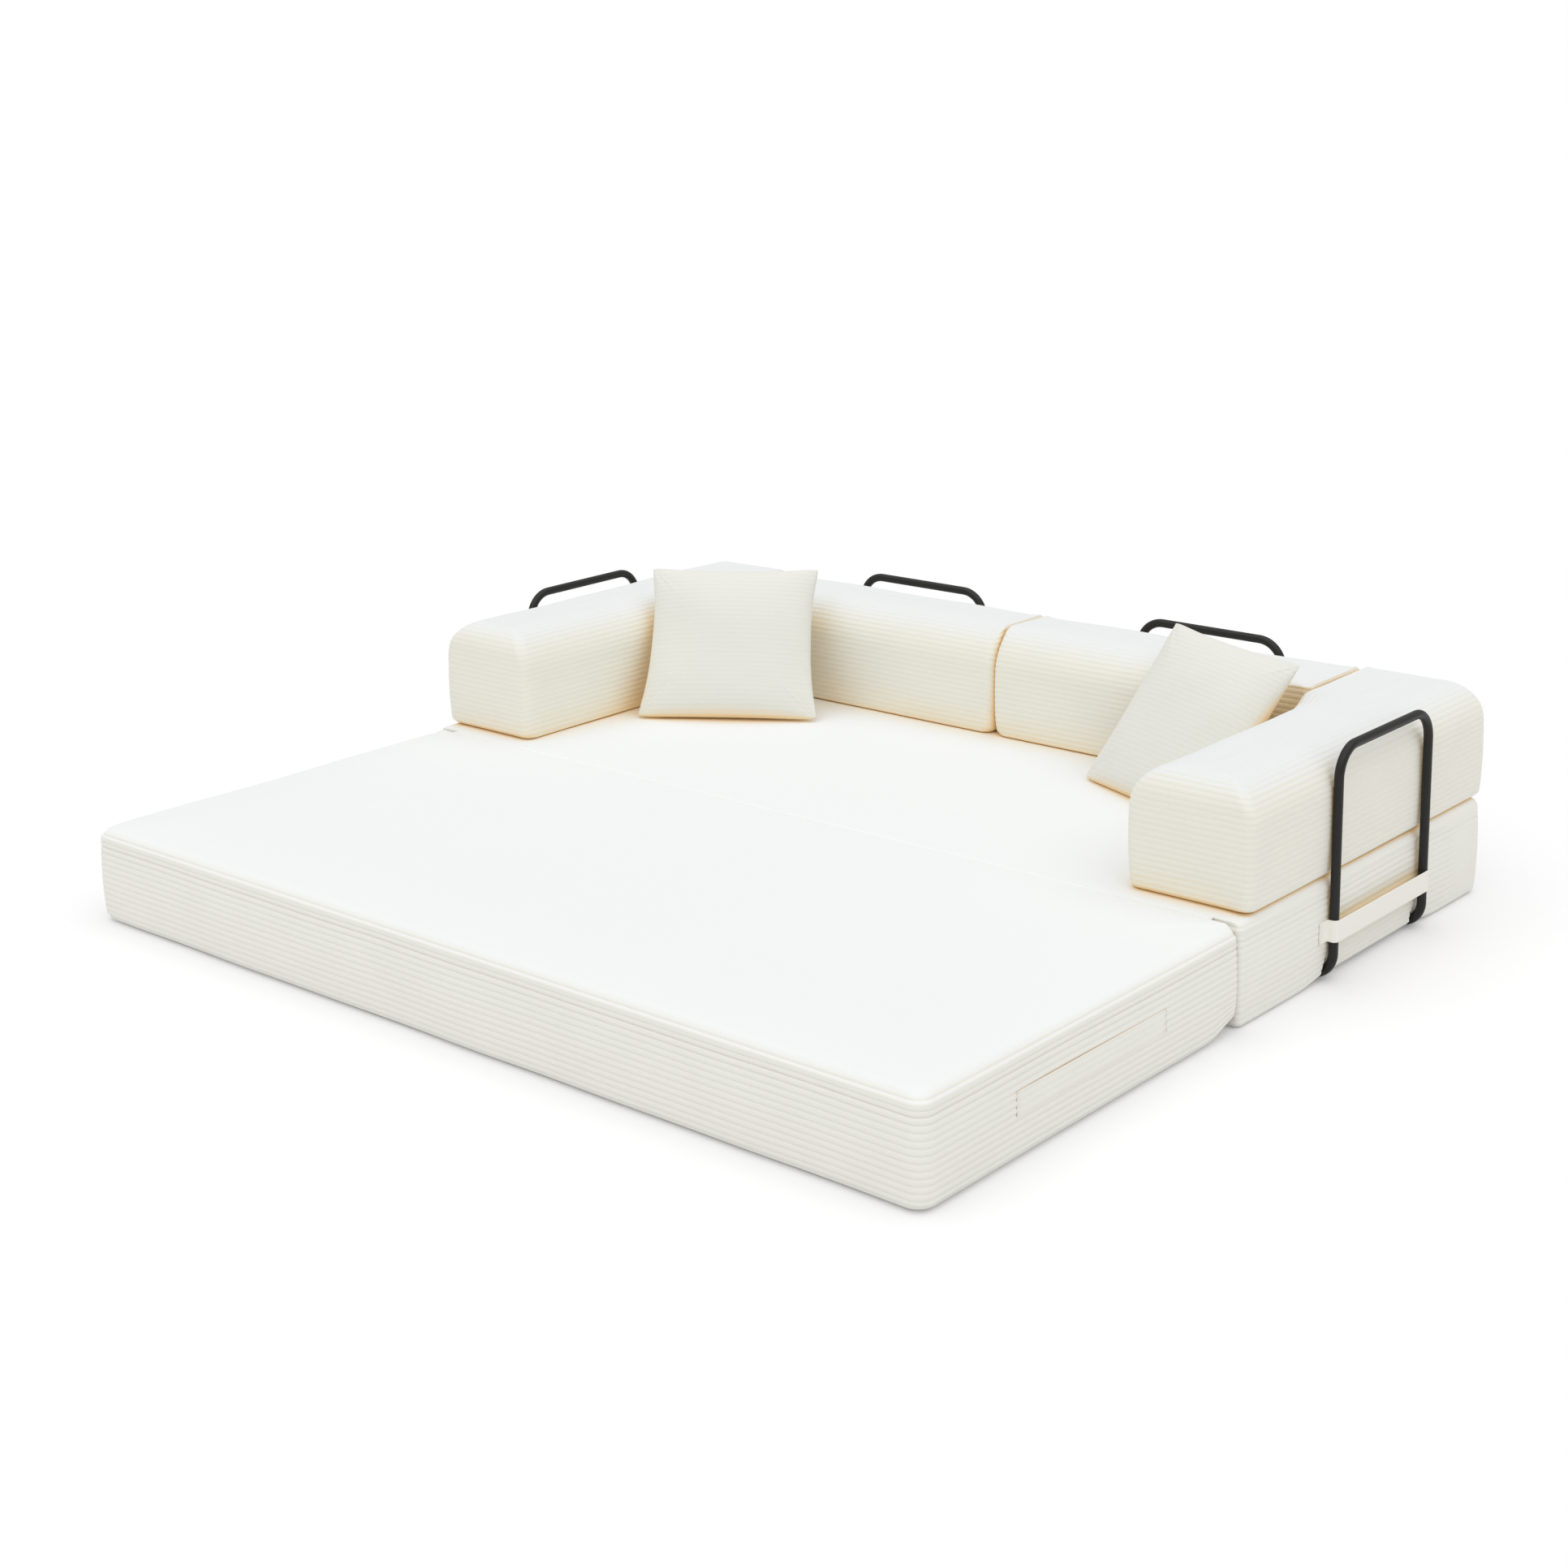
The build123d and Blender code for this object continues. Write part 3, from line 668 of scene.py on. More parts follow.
def bolster(part, seed, centre, turn, length, thickness, joint, pressed_run, end_round):
    """A stuffed bolster with cords round it, its outer side facing +y before it is turned.

    The end that joint names, 1 or -1, is pressed against another bolster over pressed_run of its inner side.
    Towards it the top edge over the seat goes over to a small radius, and the side goes back by the amount
    that it stands proud, both by a cubic step along the length. The stuffing's waves are about 260 mm long.
    """
    scene = bpy.context.scene
    cloth, shape = scene.sofa_cloth, scene.sofa_bolsters
    height, pitch, corner = BOLSTER_TOP + shape.rise - BOLSTER_FLOOR, shape.rib_pitch, shape.corner
    make = lambda foot, shoulder: edge_profile(height, foot, shoulder, BOLSTER_BARREL)
    outer, inner = make(shape.foot, shape.outer_round), make(shape.inner_foot, shape.inner_round)
    joint_edge, drawn_back = make(shape.inner_foot, shape.joint_round), min(pressed_run, shape.proud)
    pressed = lambda s: (joint_edge(s)[0] + drawn_back, joint_edge(s)[1])
    ends = make(shape.foot, end_round)
    probe = np.linspace(0, height + thickness, 6000)
    open_width = thickness - outer(probe)[0] - inner(probe)[0]
    ridge = float(np.interp(0, -open_width, probe))
    half_under = thickness / 2 - shape.foot - BOLSTER_BARREL
    under = np.concatenate([np.linspace(0, half_under, 8)[:-1], half_under - np.linspace(9, 0, 7) * MM])
    fine = np.arange(0, ridge - 2 * MM, pitch / RINGS_PER_CORD)
    rings = np.concatenate([-np.unique(under)[:0:-1], fine, [ridge]])

    half_runs = (length / 2 - corner, thickness / 2 - corner)
    plan = ring_plan(*(side_run(half, BOLSTER_COLUMNS) for half in half_runs))
    reach = length / 2 - corner - ends(rings)[0][:, None]
    along = joint * np.clip(plan[0], -reach, reach)
    share = np.clip(1 + (along + pressed_run + corner - length / 2) / (1.3 * shape.inner_round), 0, 1)
    inner = going_over(inner, pressed, cubic_step(share))
    grid, normal = loaf_grid(plan, rings, length / 2, -thickness, 0, ends, inner, outer, corner)
    s = rings[:, None]
    on = np.clip(s / (0.5 * pitch), 0, 1) * np.clip((ridge - s) / (2.5 * pitch), 0, 1)
    soft = np.clip(s / (40 * MM), 0, 1) * np.clip((ridge - s) / (10 * MM), 0, 1)
    stuffing = swell_field(grid[..., 0], grid[..., 1], grid[..., 2], seed, 0.26) - 0.3
    lift = (rib(s / pitch) - 1) * shape.rib_depth * on + stuffing * cloth.waviness * soft
    grid = np.clip(grid + normal * lift[..., None], (-length / 2, -FAR, -FAR), (length / 2, 0, FAR))
    insets = (edge(rings[-1:])[0] for edge in (ends, inner, outer))
    grid = np.concatenate([grid, closed_top(grid[-1], length / 2, thickness, *insets)])
    grid[0, :, 1] = -thickness / 2

    points = placed(grid, (*centre, BOLSTER_FLOOR), turn)
    points = np.maximum(points, (-FAR, -FAR, BOLSTER_FLOOR))
    points[:, 2] = recess(points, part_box(f"{part}_zip"), BOLSTER_FLOOR + 1 * MM)
    piece = mesh_object(f"{part}_bolster", points, tube_faces(*grid.shape[:2]))
    close_and_merge(piece)
    dress(piece, f"{part}_bolster", "ribbed_cloth", shared_material("ribbed cloth"), f"{part}_cover")
    return piece


def closed_top(rim, half_length, thickness, end_in, low_in, high_in):
    """Rows that close a loaf's level top: from its last ring, half way and all the way to the ring's spine.

    The spine runs in the middle between the two sides and stops short of the ends by half the width there.
    """
    half_width = np.maximum(thickness - low_in - high_in, 0)[-1] / 2
    spine = rim.copy()
    reach = half_length - end_in - half_width
    spine[:, 0] = np.clip(rim[:, 0], -reach, reach)
    spine[:, 1] = (low_in[-1] - high_in - thickness) / 2
    return np.stack([(rim + spine) / 2, spine])


def pillow_start(width, height, half_depth, side_in, taper, rows, columns):
    """Two sheets that meet in a seam: places along the width and height, and the depth over the seam.

    With u and v from -1 to 1, each side pulls in by side_in times 1 - |v|^2.6, the upper edge by half and
    the lower edge by 0.12 of that. The lower end is wider by the taper, and the tips are rounded off by
    (u v)^12. The depth is the half depth times (1 - u^2)(1 - v^2) to the power 0.45: full in the middle,
    thin at the corners.
    """
    even = lambda count: np.sin(np.linspace(-1, 1, count) * 1.35) / np.sin(1.35)
    v, u = np.meshgrid(even(rows), even(columns), indexing="ij")
    tip = 5 * MM * (u * v) ** 12
    x = u * (width / 2 * (1 - taper * v) - side_in * (1 - np.abs(v) ** 2.6) - tip)
    edge_in = side_in * (1 - np.abs(u) ** 2.6) * (0.5 * np.clip(v, 0, 1) - 0.12 * np.clip(-v, 0, 1))
    y = v * (height / 2 - tip) - edge_in
    return x, y, half_depth * np.clip((1 - u**2) * (1 - v**2), 0, None) ** 0.45


def sheet_pair(rows, columns):
    """Point numbers of two grids that share their border points, and the quads of both."""
    front = np.arange(rows * columns).reshape(rows, columns)
    back = front.copy()
    back[1:-1, 1:-1] = rows * columns + np.arange((rows - 2) * (columns - 2)).reshape(rows - 2, columns - 2)
    quads = lambda k: np.stack([k[:-1, :-1], k[:-1, 1:], k[1:, 1:], k[1:, :-1]], axis=-1).reshape(-1, 4)
    return front, back, np.concatenate([quads(front), quads(back)[:, ::-1]])


def blown_up(points, faces, seam, pressure, frames, most):
    """Blender's cloth under air pressure without gravity, held at its seam. No point moves more than most."""
    piece = mesh_object("cloth trial", points, faces)
    piece.vertex_groups.new(name="seam").add([int(i) for i in seam], 1.0, "REPLACE")
    modifier = piece.modifiers.new("cloth", "CLOTH")
    settings = modifier.settings
    settings.quality = 6
    settings.mass = 0.25
    settings.tension_stiffness = settings.compression_stiffness = 18
    settings.shear_stiffness = 6
    settings.bending_stiffness = 0.35
    settings.vertex_group_mass = "seam"
    settings.use_pressure = True
    settings.uniform_pressure_force = pressure
    settings.effector_weights.gravity = 0
    modifier.collision_settings.use_collision = False
    modifier.collision_settings.use_self_collision = False
    modifier.point_cache.frame_start, modifier.point_cache.frame_end = 1, frames
    scene = bpy.context.scene
    for frame_number in range(1, frames + 1):
        scene.frame_set(frame_number)
    shown = piece.evaluated_get(bpy.context.evaluated_depsgraph_get()).data
    moved = np.empty(len(points) * 3)
    shown.vertices.foreach_get("co", moved)
    moved = moved.reshape(-1, 3) - points
    far = np.linalg.norm(moved, axis=1, keepdims=True)
    scene.frame_set(1)
    mesh = piece.data
    bpy.data.objects.remove(piece)
    bpy.data.meshes.remove(mesh)
    return points + moved * np.minimum(1, most / np.maximum(far, 1e-9))


def refined(values, rows, columns):
    """A grid drawn finer by Catmull-Rom curves, first down its columns and then along its rows."""
    for count in (rows, columns):
        last = values.shape[0] - 1
        place = np.linspace(0, last, count)
        first = np.minimum(place.astype(int), last - 1)
        t = (place - first)[:, None, None]
        before, after = np.maximum(first - 1, 0), np.minimum(first + 2, last)
        p0, p1, p2, p3 = values[before], values[first], values[first + 1], values[after]
        square, cube = 2 * p0 - 5 * p1 + 4 * p2 - p3, 3 * p1 - p0 - 3 * p2 + p3
        values = 0.5 * (2 * p1 + (p2 - p0) * t + square * t**2 + cube * t**3)
        values = values.transpose(1, 0, 2)
    return values


def sheet_normals(grid):
    """Normals of an open grid, from the cross products of its slopes."""
    normal = np.cross(np.gradient(grid, axis=1), np.gradient(grid, axis=0))
    return normal / np.maximum(np.linalg.norm(normal, axis=-1, keepdims=True), 1e-12)


def cushion(side, seed, corner, turn, lean, roll, stretch, taper):
    """A stuffed square with a knife-edge seam, blown up as cloth, with its cords drawn on the cloth after.

    It stands on its lower left corner and is turned about Z, leaned back and rolled by shares of a right
    angle. Its height is stretched, and its lower end is wider by the taper.
    """
    shape = bpy.context.scene.sofa_cushions
    rows, columns = 45, 51
    width, height = shape.width, shape.height * stretch
    x, y, depth = pillow_start(width, height, shape.half_depth, shape.drawn_in, taper, rows, columns)
    depth = depth * (1 + 0.10 * swell_field(x, y, 0 * x + 0.3, seed, 0.17))
    coarse_front, coarse_back, faces = sheet_pair(rows, columns)
    points = np.zeros((coarse_back.max() + 1, 3))
    points[coarse_back.ravel()] = np.stack([x, y, -depth], axis=-1).reshape(-1, 3)
    points[coarse_front.ravel()] = np.stack([x, y, depth], axis=-1).reshape(-1, 3)
    seam = np.intersect1d(coarse_front, coarse_back)
    points = blown_up(points, faces, seam, pressure=3.0, frames=16, most=9 * MM)

    cords = int(round(height / shape.rib_pitch))
    rows, columns = cords * 6 + 1, 111
    front, back, faces = sheet_pair(rows, columns)
    finished = np.zeros((back.max() + 1, 3))
    height_at = refined((y + height / 2)[..., None], rows, columns)[..., 0]
    from_seam = lambda count: np.minimum(np.arange(count), np.arange(count)[::-1])
    border = np.minimum(from_seam(rows)[:, None], from_seam(columns))
    ribs = (rib(height_at / shape.rib_pitch) - 1) * shape.rib_depth * np.clip(border / 3, 0, 1)
    for numbers, coarse, outwards in ((back, coarse_back, -1), (front, coarse_front, 1)):
        grid = refined(points[coarse], rows, columns)
        grid = grid + sheet_normals(grid) * (outwards * ribs)[..., None]
        finished[numbers.ravel()] = grid.reshape(-1, 3)
    quarter = np.pi / 2
    spin = Matrix.Rotation(turn * quarter, 3, "Z") @ Matrix.Rotation(quarter - lean * quarter, 3, "X")
    spin = np.array(spin @ Matrix.Rotation(roll * quarter, 3, "Z"))
    finished = (finished + (width / 2, height / 2, 0)) @ spin.T + np.array(corner)
    finished[:, 2] = np.maximum(finished[:, 2], SLAB_TOP + 0.4 * MM)
    piece = mesh_object(f"{side}_scatter_cushion", finished, faces)
    close_and_merge(piece)
    nodes = [f"{side}_cushion_{part}" for part in ("cover", "filling")]
    dress(piece, f"{side}_cushion", "ribbed_cloth", shared_material("cushion cloth"), *nodes)
    return piece


def rounded_path(corners, radii, arc_steps=14):
    """A line through corners, each rounded by its radius: straight runs and arcs of equal steps."""
    corners = [np.array(c, float) for c in corners]
    points = [corners[0]]
    for before, corner, after, radius in zip(corners, corners[1:], corners[2:], radii):
        a = (before - corner) / np.linalg.norm(before - corner)
        b = (after - corner) / np.linalg.norm(after - corner)
        angle = np.arccos(np.clip(a @ b, -1, 1))
        reach = radius / np.tan(angle / 2)
        middle = corner + (a + b) / np.linalg.norm(a + b) * radius / np.sin(angle / 2)
        start = corner + a * reach - middle
        side = corner + b * reach - middle
        sweep = np.pi - angle
        t = np.linspace(0, 1, arc_steps)[:, None]
        points.extend(middle + (np.sin((1 - t) * sweep) * start + np.sin(t * sweep) * side) / np.sin(sweep))
    points.append(corners[-1])
    return np.array(points)


def tube_along(path, radius, sides=28):
    """A round tube along a path, each ring square to it, with its frame carried from point to point."""
    tangent = np.gradient(path, axis=0)
    tangent[1:-1] = path[2:] - path[:-2]
    tangent /= np.linalg.norm(tangent, axis=1, keepdims=True)
    across = np.zeros_like(path)
    start = np.array([0.0, 1.0, 0.0] if abs(tangent[0][1]) < 0.9 else [1.0, 0.0, 0.0])
    for i in range(len(path)):
        start = start - tangent[i] * (start @ tangent[i])
        start /= np.linalg.norm(start)
        across[i] = start
    other = np.cross(tangent, across)
    turn = np.linspace(0, 2 * np.pi, sides, endpoint=False)[None, :, None]
    return path[:, None, :] + radius * (np.cos(turn) * across[:, None, :] + np.sin(turn) * other[:, None, :])


def hoop_place(side):
    """Where a hoop stands: a point on the wall behind it, and the turn that faces +x away from the wall."""
    arm_y = (ARM_FRONT_Y + BACK_Y) / 2
    low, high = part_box("back_right_cover")
    back_x = (low.x + high.x) / 2
    return {
        "right": ((SIDE_X, arm_y, 0), 0.0),
        "left": ((-SIDE_X, arm_y, 0), np.pi),
        "back_right": ((back_x, BACK_Y, 0), np.pi / 2),
        "back_left": ((-back_x, BACK_Y, 0), np.pi / 2),
    }[side]


def placed(points, spot, turn):
    """Points in a row, turned about the upright axis and moved to a spot."""
    spin = np.array(Matrix.Rotation(turn, 3, "Z"))
    return points.reshape(-1, 3) @ spin.T + np.array(spot)


def hoop_line(side):
    """The centre line of a hoop: two feet, two uprights and a top bar, with rounded bends."""
    shape = bpy.context.scene.sofa_hoops
    radius, half = shape.diameter / 2, shape.width / 2
    off = TOUCH_GAP + radius
    inner = off - shape.leg
    corners = [(inner, -half, radius), (off, -half, radius), (off, -half, shape.height)]
    corners += [(x, -y, z) for x, y, z in reversed(corners)]
    path = rounded_path(corners, [shape.foot_bend, shape.top_bend, shape.top_bend, shape.foot_bend])
    return placed(path, *hoop_place(side))


def hoop(side):
    """A bent tube hoop of steel."""
    grid = capped(tube_along(hoop_line(side), bpy.context.scene.sofa_hoops.diameter / 2))
    piece = mesh_object(f"{side}_hoop_tube", grid.reshape(-1, 3), tube_faces(*grid.shape[:2]))
    close_and_merge(piece)
    return dress(piece, "rear_base", "tube", shared_material("powder coat"), f"{side}_hoop")


def fold_strip():
    """The strip of cloth that joins the slabs, level across the fold between their shoulders.

    Its height dips by a bell curve at the fold, and two such surfaces, a cloth's thickness apart, close it.
    """
    rise, under, dip, dip_reach, half_cloth = 4.5 * MM, 1 * MM, 1.5 * MM, 2.5 * MM, 0.7 * MM
    low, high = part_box("fold_strip_rear")
    top = high.z + rise
    y = FOLD_Y + np.sort(np.concatenate([np.linspace(-30, 30, 21), np.linspace(-4, 4, 12)])) * MM
    line = np.stack([y, top - under - dip * np.exp(-(((y - FOLD_Y) / dip_reach) ** 2))], axis=1)
    ring = np.concatenate([line + (0, half_cloth), (line - (0, half_cloth))[::-1]])
    x = np.linspace(low.x, high.x, 160)
    grid = np.zeros((len(x), len(ring), 3))
    grid[..., 0] = x[:, None]
    grid[..., 1:] = ring[None]
    half = len(line)
    k = np.arange(half - 1)
    end = np.stack([k, k + 1, 2 * half - 2 - k, 2 * half - 1 - k], axis=1)
    faces = np.concatenate([tube_faces(*grid.shape[:2]), end, end[:, ::-1] + (len(x) - 1) * 2 * half])
    piece = mesh_object("fold_cloth", grid.reshape(-1, 3), faces)
    close_and_merge(piece, 1e-6)
    dress(piece, None, "webbing", shared_material("corded cloth"), "fold_strip_rear", "fold_strip_front")
    start, end = (0, FOLD_Y + 2 * MM, top), (0, FOLD_Y - 2 * MM, top)
    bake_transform(piece)
    return piece


def ribbon(path, cord=0):
    """A strap: a flat path in plan, thickened and raised between two heights, half way up the slabs.

    Its section is two half circles, one at each edge, joined by flat faces. The outer face sinks between
    cords by cord times one less their section, with a cord's width of STRAP_CORD.
    """
    shape = bpy.context.scene.sofa_straps
    low, high = SLAB_TOP / 2 - shape.width / 2, SLAB_TOP / 2 + shape.width / 2
    tangent = np.gradient(path, axis=0)
    tangent /= np.linalg.norm(tangent, axis=1, keepdims=True)
    normal = np.stack([tangent[:, 1], -tangent[:, 0]], axis=1)
    edge = shape.cloth / 2
    turn = np.linspace(0, np.pi, 5)
    face = np.linspace(0, 1, 32)[1:-1]
    groove = cord * (rib(face * (high - low) / STRAP_CORD) - 1)
    out = [edge * np.cos(turn), np.full(len(face), -edge), -edge * np.cos(turn), edge + groove]
    up = [high - edge + edge * np.sin(turn), high - edge + (low - high + shape.cloth) * face]
    up += [low + edge - edge * np.sin(turn), low + edge + (high - low - shape.cloth) * face]
    out, up = np.concatenate(out), np.concatenate(up)
    grid = np.zeros((len(path), len(out), 3))
    grid[..., :2] = path[:, None, :] + normal[:, None, :] * out[None, :, None]
    grid[..., 2] = up[None, :]
    return capped(grid)


def strap(name, grid, spot, turn, body, material, node):
    """A strap's grid, put in its place and finished."""
    piece = mesh_object(name, placed(grid, spot, turn), tube_faces(*grid.shape[:2]))
    close_and_merge(piece)
    return dress(piece, body, "webbing", shared_material(material), node)


def strap_over_hoop(side):
    """A strap sewn to the base beside a hoop's uprights and drawn over both of them."""
    shape, tube = bpy.context.scene.sofa_straps, bpy.context.scene.sofa_hoops
    radius, half, bend = tube.diameter / 2, tube.width / 2, 1.5 * MM
    flat = TOUCH_GAP + shape.cloth / 2
    over = radius + TOUCH_GAP + shape.cloth / 2
    crest = TOUCH_GAP + radius + over
    front = [(flat, -shape.length / 2, 0), (flat, -half - over, 0), (crest, -half - over, 0)]
    corners = front + [(x, -y, 0) for x, y, _ in reversed(front)]
    path = rounded_path(corners, [bend, over, over, bend], arc_steps=10)[:, :2]
    name, node, place = f"{side}_hoop_webbing", f"{side}_hoop_strap", hoop_place(side)
    return strap(name, ribbon(path), *place, "rear_base", "plain webbing", node)


def flat_strap(side):
    """A corded strap that lies flat in the cords of the front slab's side."""
    shape = bpy.context.scene.sofa_straps
    sunk, cord = 2.2 * MM, 1.1 * MM
    y = np.linspace(-shape.length / 2, shape.length / 2, 30)
    grid = ribbon(np.stack([np.full_like(y, shape.cloth / 2 - sunk), y], axis=1), cord)
    x, turn = (SIDE_X, 0.0) if side == "right" else (-SIDE_X, np.pi)
    spot = (x, (FRONT_FRONT_Y + FRONT_BACK_Y) / 2, 0)
    name, node = f"front_slab_{side}_webbing", f"front_slab_{side}_strap"
    return strap(name, grid, spot, turn, "front_slab", "corded cloth", node)


# Stage


def seen_or_lit(tree, out, lit, seen):
    """Joins two shaders to an output: one lights the object, the other is what the camera sees."""
    ray = add_node(tree, "LightPath").outputs["Is Camera Ray"]
    pick = add_node(tree, "MixShader", {0: ray, 1: lit.outputs[0], 2: seen.outputs[0]})
    tree.links.new(pick.outputs[0], out.inputs["Surface"])


def linked(name, data):
    """A new object of the scene for its data."""
    item = bpy.data.objects.new(name, data)
    bpy.context.scene.collection.objects.link(item)
    return item


def paper_floor(glow):
    """Seamless white paper: what the camera sees of it glows, and turns to pure white away from the sofa.

    The sofa's shadow stays on it.
    """
    half = 60
    corners = np.array([(-half, -half, 0), (half, -half, 0), (half, half, 0), (-half, half, 0)], float)
    floor = mesh_object("floor", corners, [(0, 1, 2, 3)])
    material, tree, out = new_material("white paper floor")
    paper = add_node(tree, "BsdfDiffuse", {"Color": (0.855, 0.856, 0.868, 1)})
    light = add_node(tree, "Emission", {"Color": (1, 1, 1, 1), "Strength": glow})
    seen_or_lit(tree, out, paper, add_node(tree, "AddShader", {0: paper.outputs[0], 1: light.outputs[0]}))
    floor.data.materials.append(material)


def studio_world(strength):
    """An even, faintly warm light from all round, which the camera sees as plain white."""
    world = bpy.data.worlds.new("studio")
    world.use_nodes = True
    tree = world.node_tree
    tree.nodes.clear()
    soft = add_node(tree, "Background", {"Color": (1.0, 0.99, 0.975, 1), "Strength": strength})
    white = add_node(tree, "Background", {"Color": (1, 1, 1, 1), "Strength": 1.0})
    seen_or_lit(tree, add_node(tree, "OutputWorld"), soft, white)
    return world


def overhead_light(strength):
    """A wide, faintly cool light from above and a little from the front right."""
    data = bpy.data.lights.new("overhead light", "SUN")
    data.energy = strength
    data.angle = np.radians(100)
    data.color = (0.985, 0.993, 1.0)
    linked("overhead light", data).rotation_euler = (np.radians(12), np.radians(9), 0)


def standing_camera(settings):
    """The camera of the photograph: turned left of +Y, pitched down and rolled about its line of sight."""
    sin, cos = np.sin, np.cos
    yaw, pitch, roll = settings.yaw, settings.pitch, settings.roll
    forward = np.array([-sin(yaw) * cos(pitch), cos(yaw) * cos(pitch), -sin(pitch)])
    level = np.array([cos(yaw), sin(yaw), 0])
    upright = np.cross(level, forward)
    right = level * cos(roll) + upright * sin(roll)
    up = -level * sin(roll) + upright * cos(roll)
    data = bpy.data.cameras.new("camera")
    data.lens = settings.focal
    data.sensor_width = 36
    data.shift_y = settings.shift
    camera = linked("camera", data)
    rows = [[right[i], up[i], -forward[i], settings.camera[i]] for i in range(3)]
    camera.matrix_world = Matrix(rows + [[0, 0, 0, 1]])
    return camera


# Operators


class SOFA_OT_slabs(bpy.types.Operator):
    """Make the two stuffed slabs of the bed, pressed in where the hoops' feet lie under them"""

    bl_idname = "sofa.slabs"
    bl_label = "Slabs"

    def execute(self, context):
        shape, half = context.scene.sofa_slabs, context.scene.sofa_hoops.width / 2
        feet = [path[path[:, 2] < SLAB_TOP] for path in map(hoop_line, SIDES)]
        arm_y = hoop_place("right")[0][1] - (REAR_FRONT_Y + BACK_Y) / 2
        back_x = hoop_place("back_right")[0][0]
        along = [sign * (back_x + side) for sign in (-1, 1) for side in (-half, half)]
        across = [arm_y - half, arm_y + half]
        front_edges = {name: getattr(shape, name) for name in REAR_EDGES}
        slab("rear_base", REAR_FRONT_Y, BACK_Y, 3, REAR_EDGES, feet, along, across)
        slab("front_slab", FRONT_FRONT_Y, FRONT_BACK_Y, 7, front_edges)
        return {"FINISHED"}


class SOFA_OT_fold(bpy.types.Operator):
    """Make the strip of cloth that joins the two slabs"""

    bl_idname = "sofa.fold"
    bl_label = "Fold strip"

    def execute(self, context):
        fold_strip()
        return {"FINISHED"}


class SOFA_OT_bolsters(bpy.types.Operator):
    """Make the four stuffed bolsters round the rear base"""

    bl_idname = "sofa.bolsters"
    bl_label = "Bolsters"

    def execute(self, context):
        shape = context.scene.sofa_bolsters
        low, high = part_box("back_right_cover")
        arm_y, back_x, quarter = (ARM_FRONT_Y + BACK_Y) / 2, (low.x + high.x) / 2, np.pi / 2
        back_thick = BACK_Y - BACK_INNER_Y
        # Length and thickness of an arm and a back, then the run of its inner side that is pressed and
        # the radius over its ends
        arm_size = (BACK_Y - ARM_FRONT_Y, SIDE_X - INNER_X + shape.proud)
        back_size = (high.x - low.x, back_thick)
        arm_ends, back_ends = (back_thick, shape.end_round), (0, shape.joint_round)
        bolster("right_arm", 11, (SIDE_X, arm_y), -quarter, *arm_size, -1, *arm_ends)
        bolster("left_arm", 12, (-SIDE_X, arm_y), quarter, *arm_size, 1, *arm_ends)
        bolster("back_right", 13, (back_x, BACK_Y), 0, *back_size, 1, *back_ends)
        bolster("back_left", 14, (-back_x, BACK_Y), 0, *back_size, -1, *back_ends)
        return {"FINISHED"}


class SOFA_OT_cushions(bpy.types.Operator):
    """Make the two scatter cushions"""

    bl_idname = "sofa.cushions"
    bl_label = "Cushions"

    def execute(self, context):
        # Their places and turns come from a fit to how they lie against the arms and backs
        left = (-SIDE_X + 321.7 * MM, REAR_FRONT_Y + 319.4 * MM, BOLSTER_FLOOR + 2.2 * MM)
        right = (SIDE_X - 690 * MM, REAR_FRONT_Y + 544.5 * MM, BOLSTER_FLOOR + 2.1 * MM)
        cushion("left", 21, left, turn=0.3587, lean=0.3351, roll=0.0061, stretch=1.0, taper=0.03)
        cushion("right", 22, right, turn=-0.2288, lean=0.4044, roll=-0.0106, stretch=1.06, taper=0.0)
        return {"FINISHED"}


class SOFA_OT_hoops(bpy.types.Operator):
    """Make the four bent tube hoops"""

    bl_idname = "sofa.hoops"
    bl_label = "Hoops"

    def execute(self, context):
        for side in SIDES:
            hoop(side)
        return {"FINISHED"}


class SOFA_OT_straps(bpy.types.Operator):
    """Make the webbing straps over the hoops and on the front slab"""

    bl_idname = "sofa.straps"
    bl_label = "Straps"

    def execute(self, context):
        for side in SIDES:
            strap_over_hoop(side)
        for side in ("right", "left"):
            flat_strap(side)
        return {"FINISHED"}


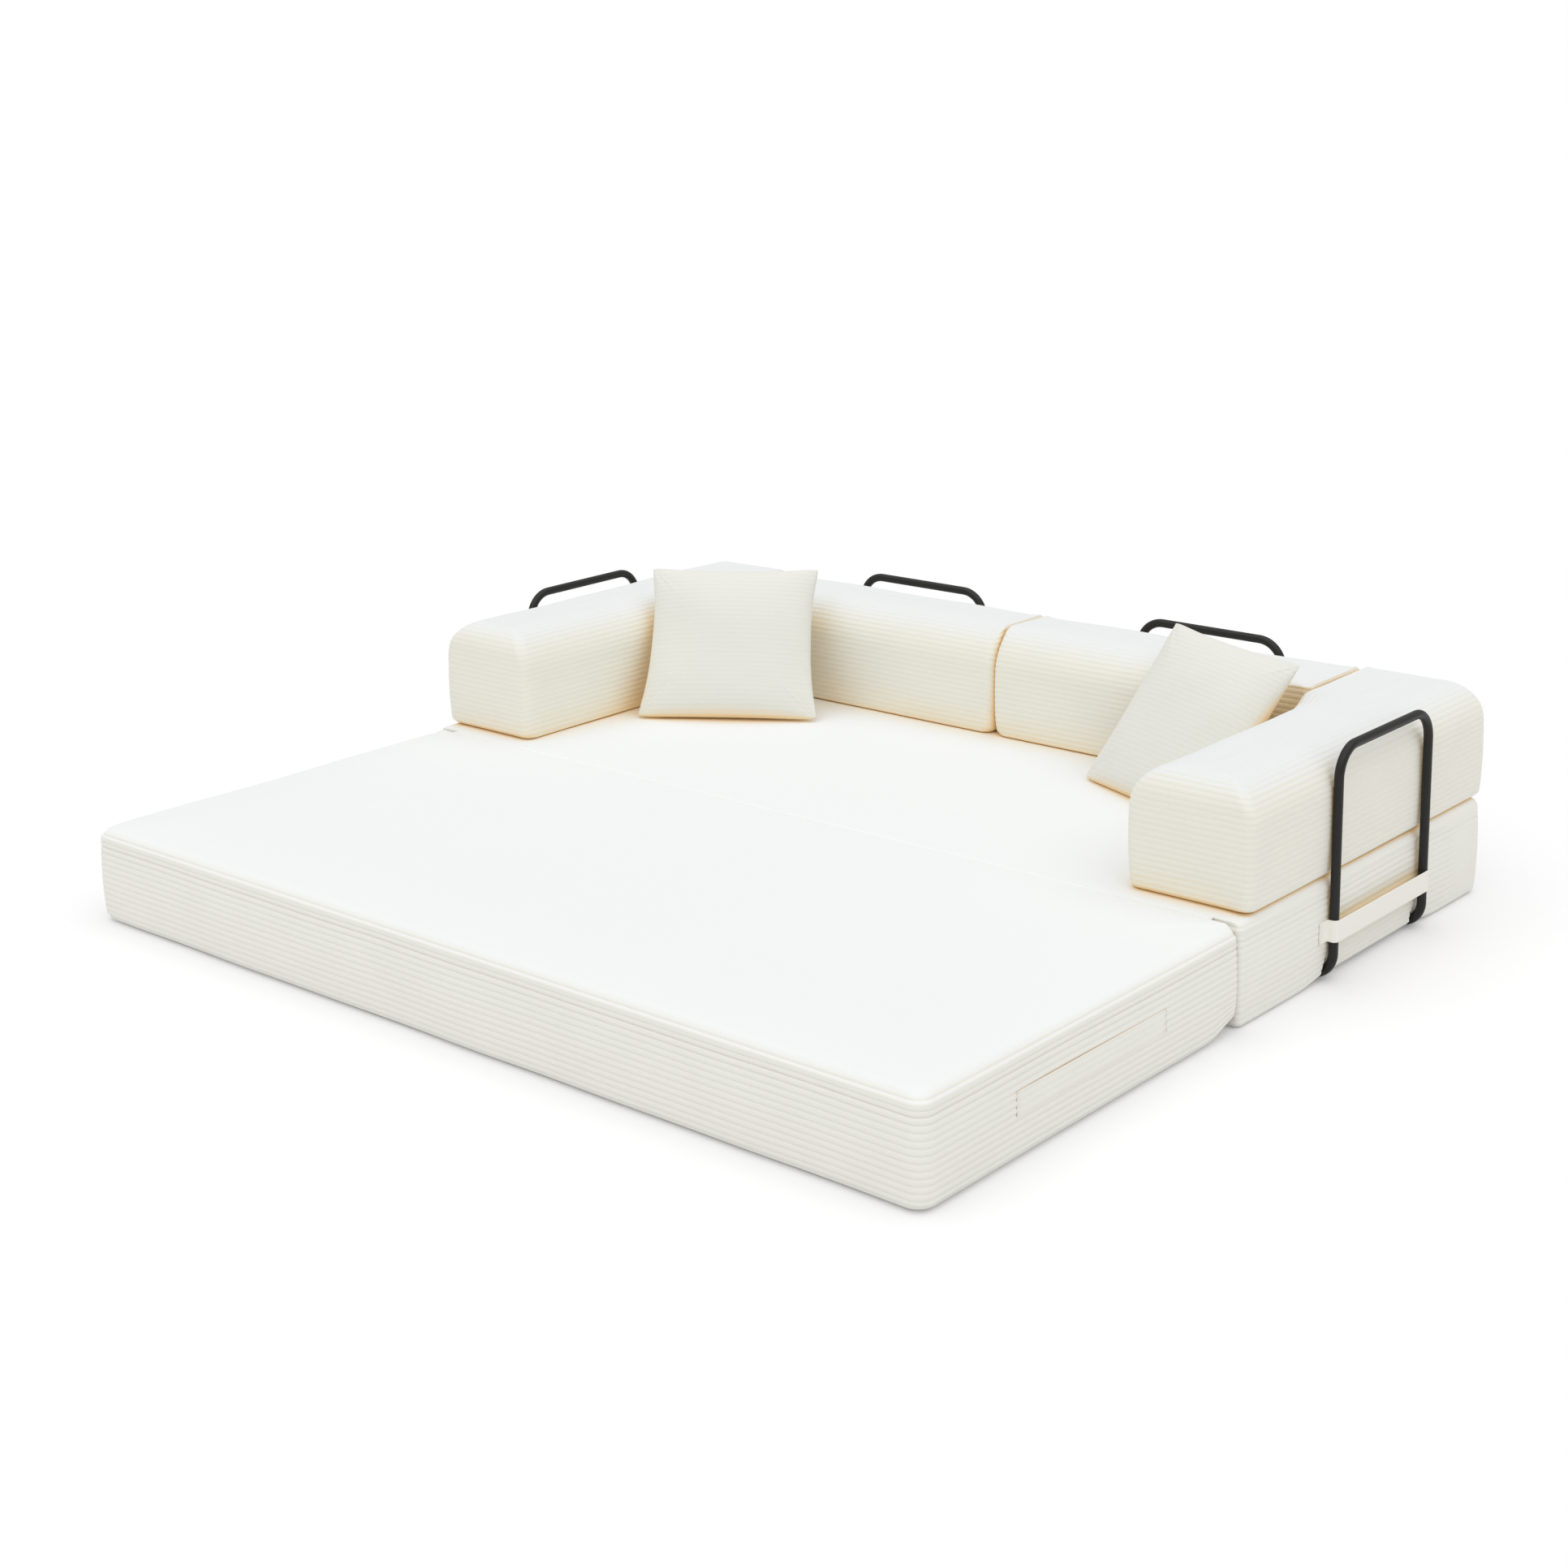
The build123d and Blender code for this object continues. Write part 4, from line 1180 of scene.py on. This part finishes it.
class SOFA_OT_frame_finishes(bpy.types.Operator):
    """Give the carried-over nodes their own materials"""

    bl_idname = "sofa.frame_finishes"
    bl_label = "Frame finishes"

    def execute(self, context):
        endings = {
            "_foam": "cut foam",
            "_filling": "cut foam",
            "_zip": "zip nylon",
            "_caps": "end plug nylon",
        }
        for name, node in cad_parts.items():
            for ending, material in endings.items():
                if name.endswith(ending):
                    for material_slot in node.material_slots:
                        material_slot.material = shared_material(material)
        return {"FINISHED"}


class SOFA_OT_stage(bpy.types.Operator):
    """Make the white floor, the soft lights and the camera"""

    bl_idname = "sofa.stage"
    bl_label = "Stage"

    def execute(self, context):
        settings = context.scene.sofa_stage
        paper_floor(settings.glow)
        context.scene.world = studio_world(settings.sky)
        overhead_light(settings.overhead)
        context.scene.camera = standing_camera(settings)
        context.scene.view_settings.view_transform = "Standard"
        return {"FINISHED"}


class SOFA_PT_panel(bpy.types.Panel):
    """The sofa's pieces, in the 3D view's sidebar"""

    bl_label = "Sleeper sofa"
    bl_idname = "SOFA_PT_panel"
    bl_space_type = "VIEW_3D"
    bl_region_type = "UI"
    bl_category = "Sofa"

    def draw(self, context):
        for operator in OPERATORS:
            self.layout.operator(operator.bl_idname)


SETTINGS = {
    "sofa_cloth": SofaClothSettings,
    "sofa_slabs": SofaSlabSettings,
    "sofa_bolsters": SofaBolsterSettings,
    "sofa_cushions": SofaCushionSettings,
    "sofa_hoops": SofaHoopSettings,
    "sofa_straps": SofaStrapSettings,
    "sofa_stage": SofaStageSettings,
}
OPERATORS = (
    SOFA_OT_slabs,
    SOFA_OT_fold,
    SOFA_OT_bolsters,
    SOFA_OT_cushions,
    SOFA_OT_hoops,
    SOFA_OT_straps,
    SOFA_OT_frame_finishes,
    SOFA_OT_stage,
)


def register():
    for group in SETTINGS.values():
        bpy.utils.register_class(group)
    for operator in OPERATORS:
        bpy.utils.register_class(operator)
    bpy.utils.register_class(SOFA_PT_panel)
    for name, group in SETTINGS.items():
        setattr(bpy.types.Scene, name, bpy.props.PointerProperty(type=group))


def unregister():
    for name in SETTINGS:
        delattr(bpy.types.Scene, name)
    bpy.utils.unregister_class(SOFA_PT_panel)
    for operator in reversed(OPERATORS):
        bpy.utils.unregister_class(operator)
    for group in reversed(SETTINGS.values()):
        bpy.utils.unregister_class(group)


def main():
    register()
    for operator in OPERATORS:
        group, name = operator.bl_idname.split(".")
        getattr(getattr(bpy.ops, group), name)()


if __name__ == "__main__":
    main()
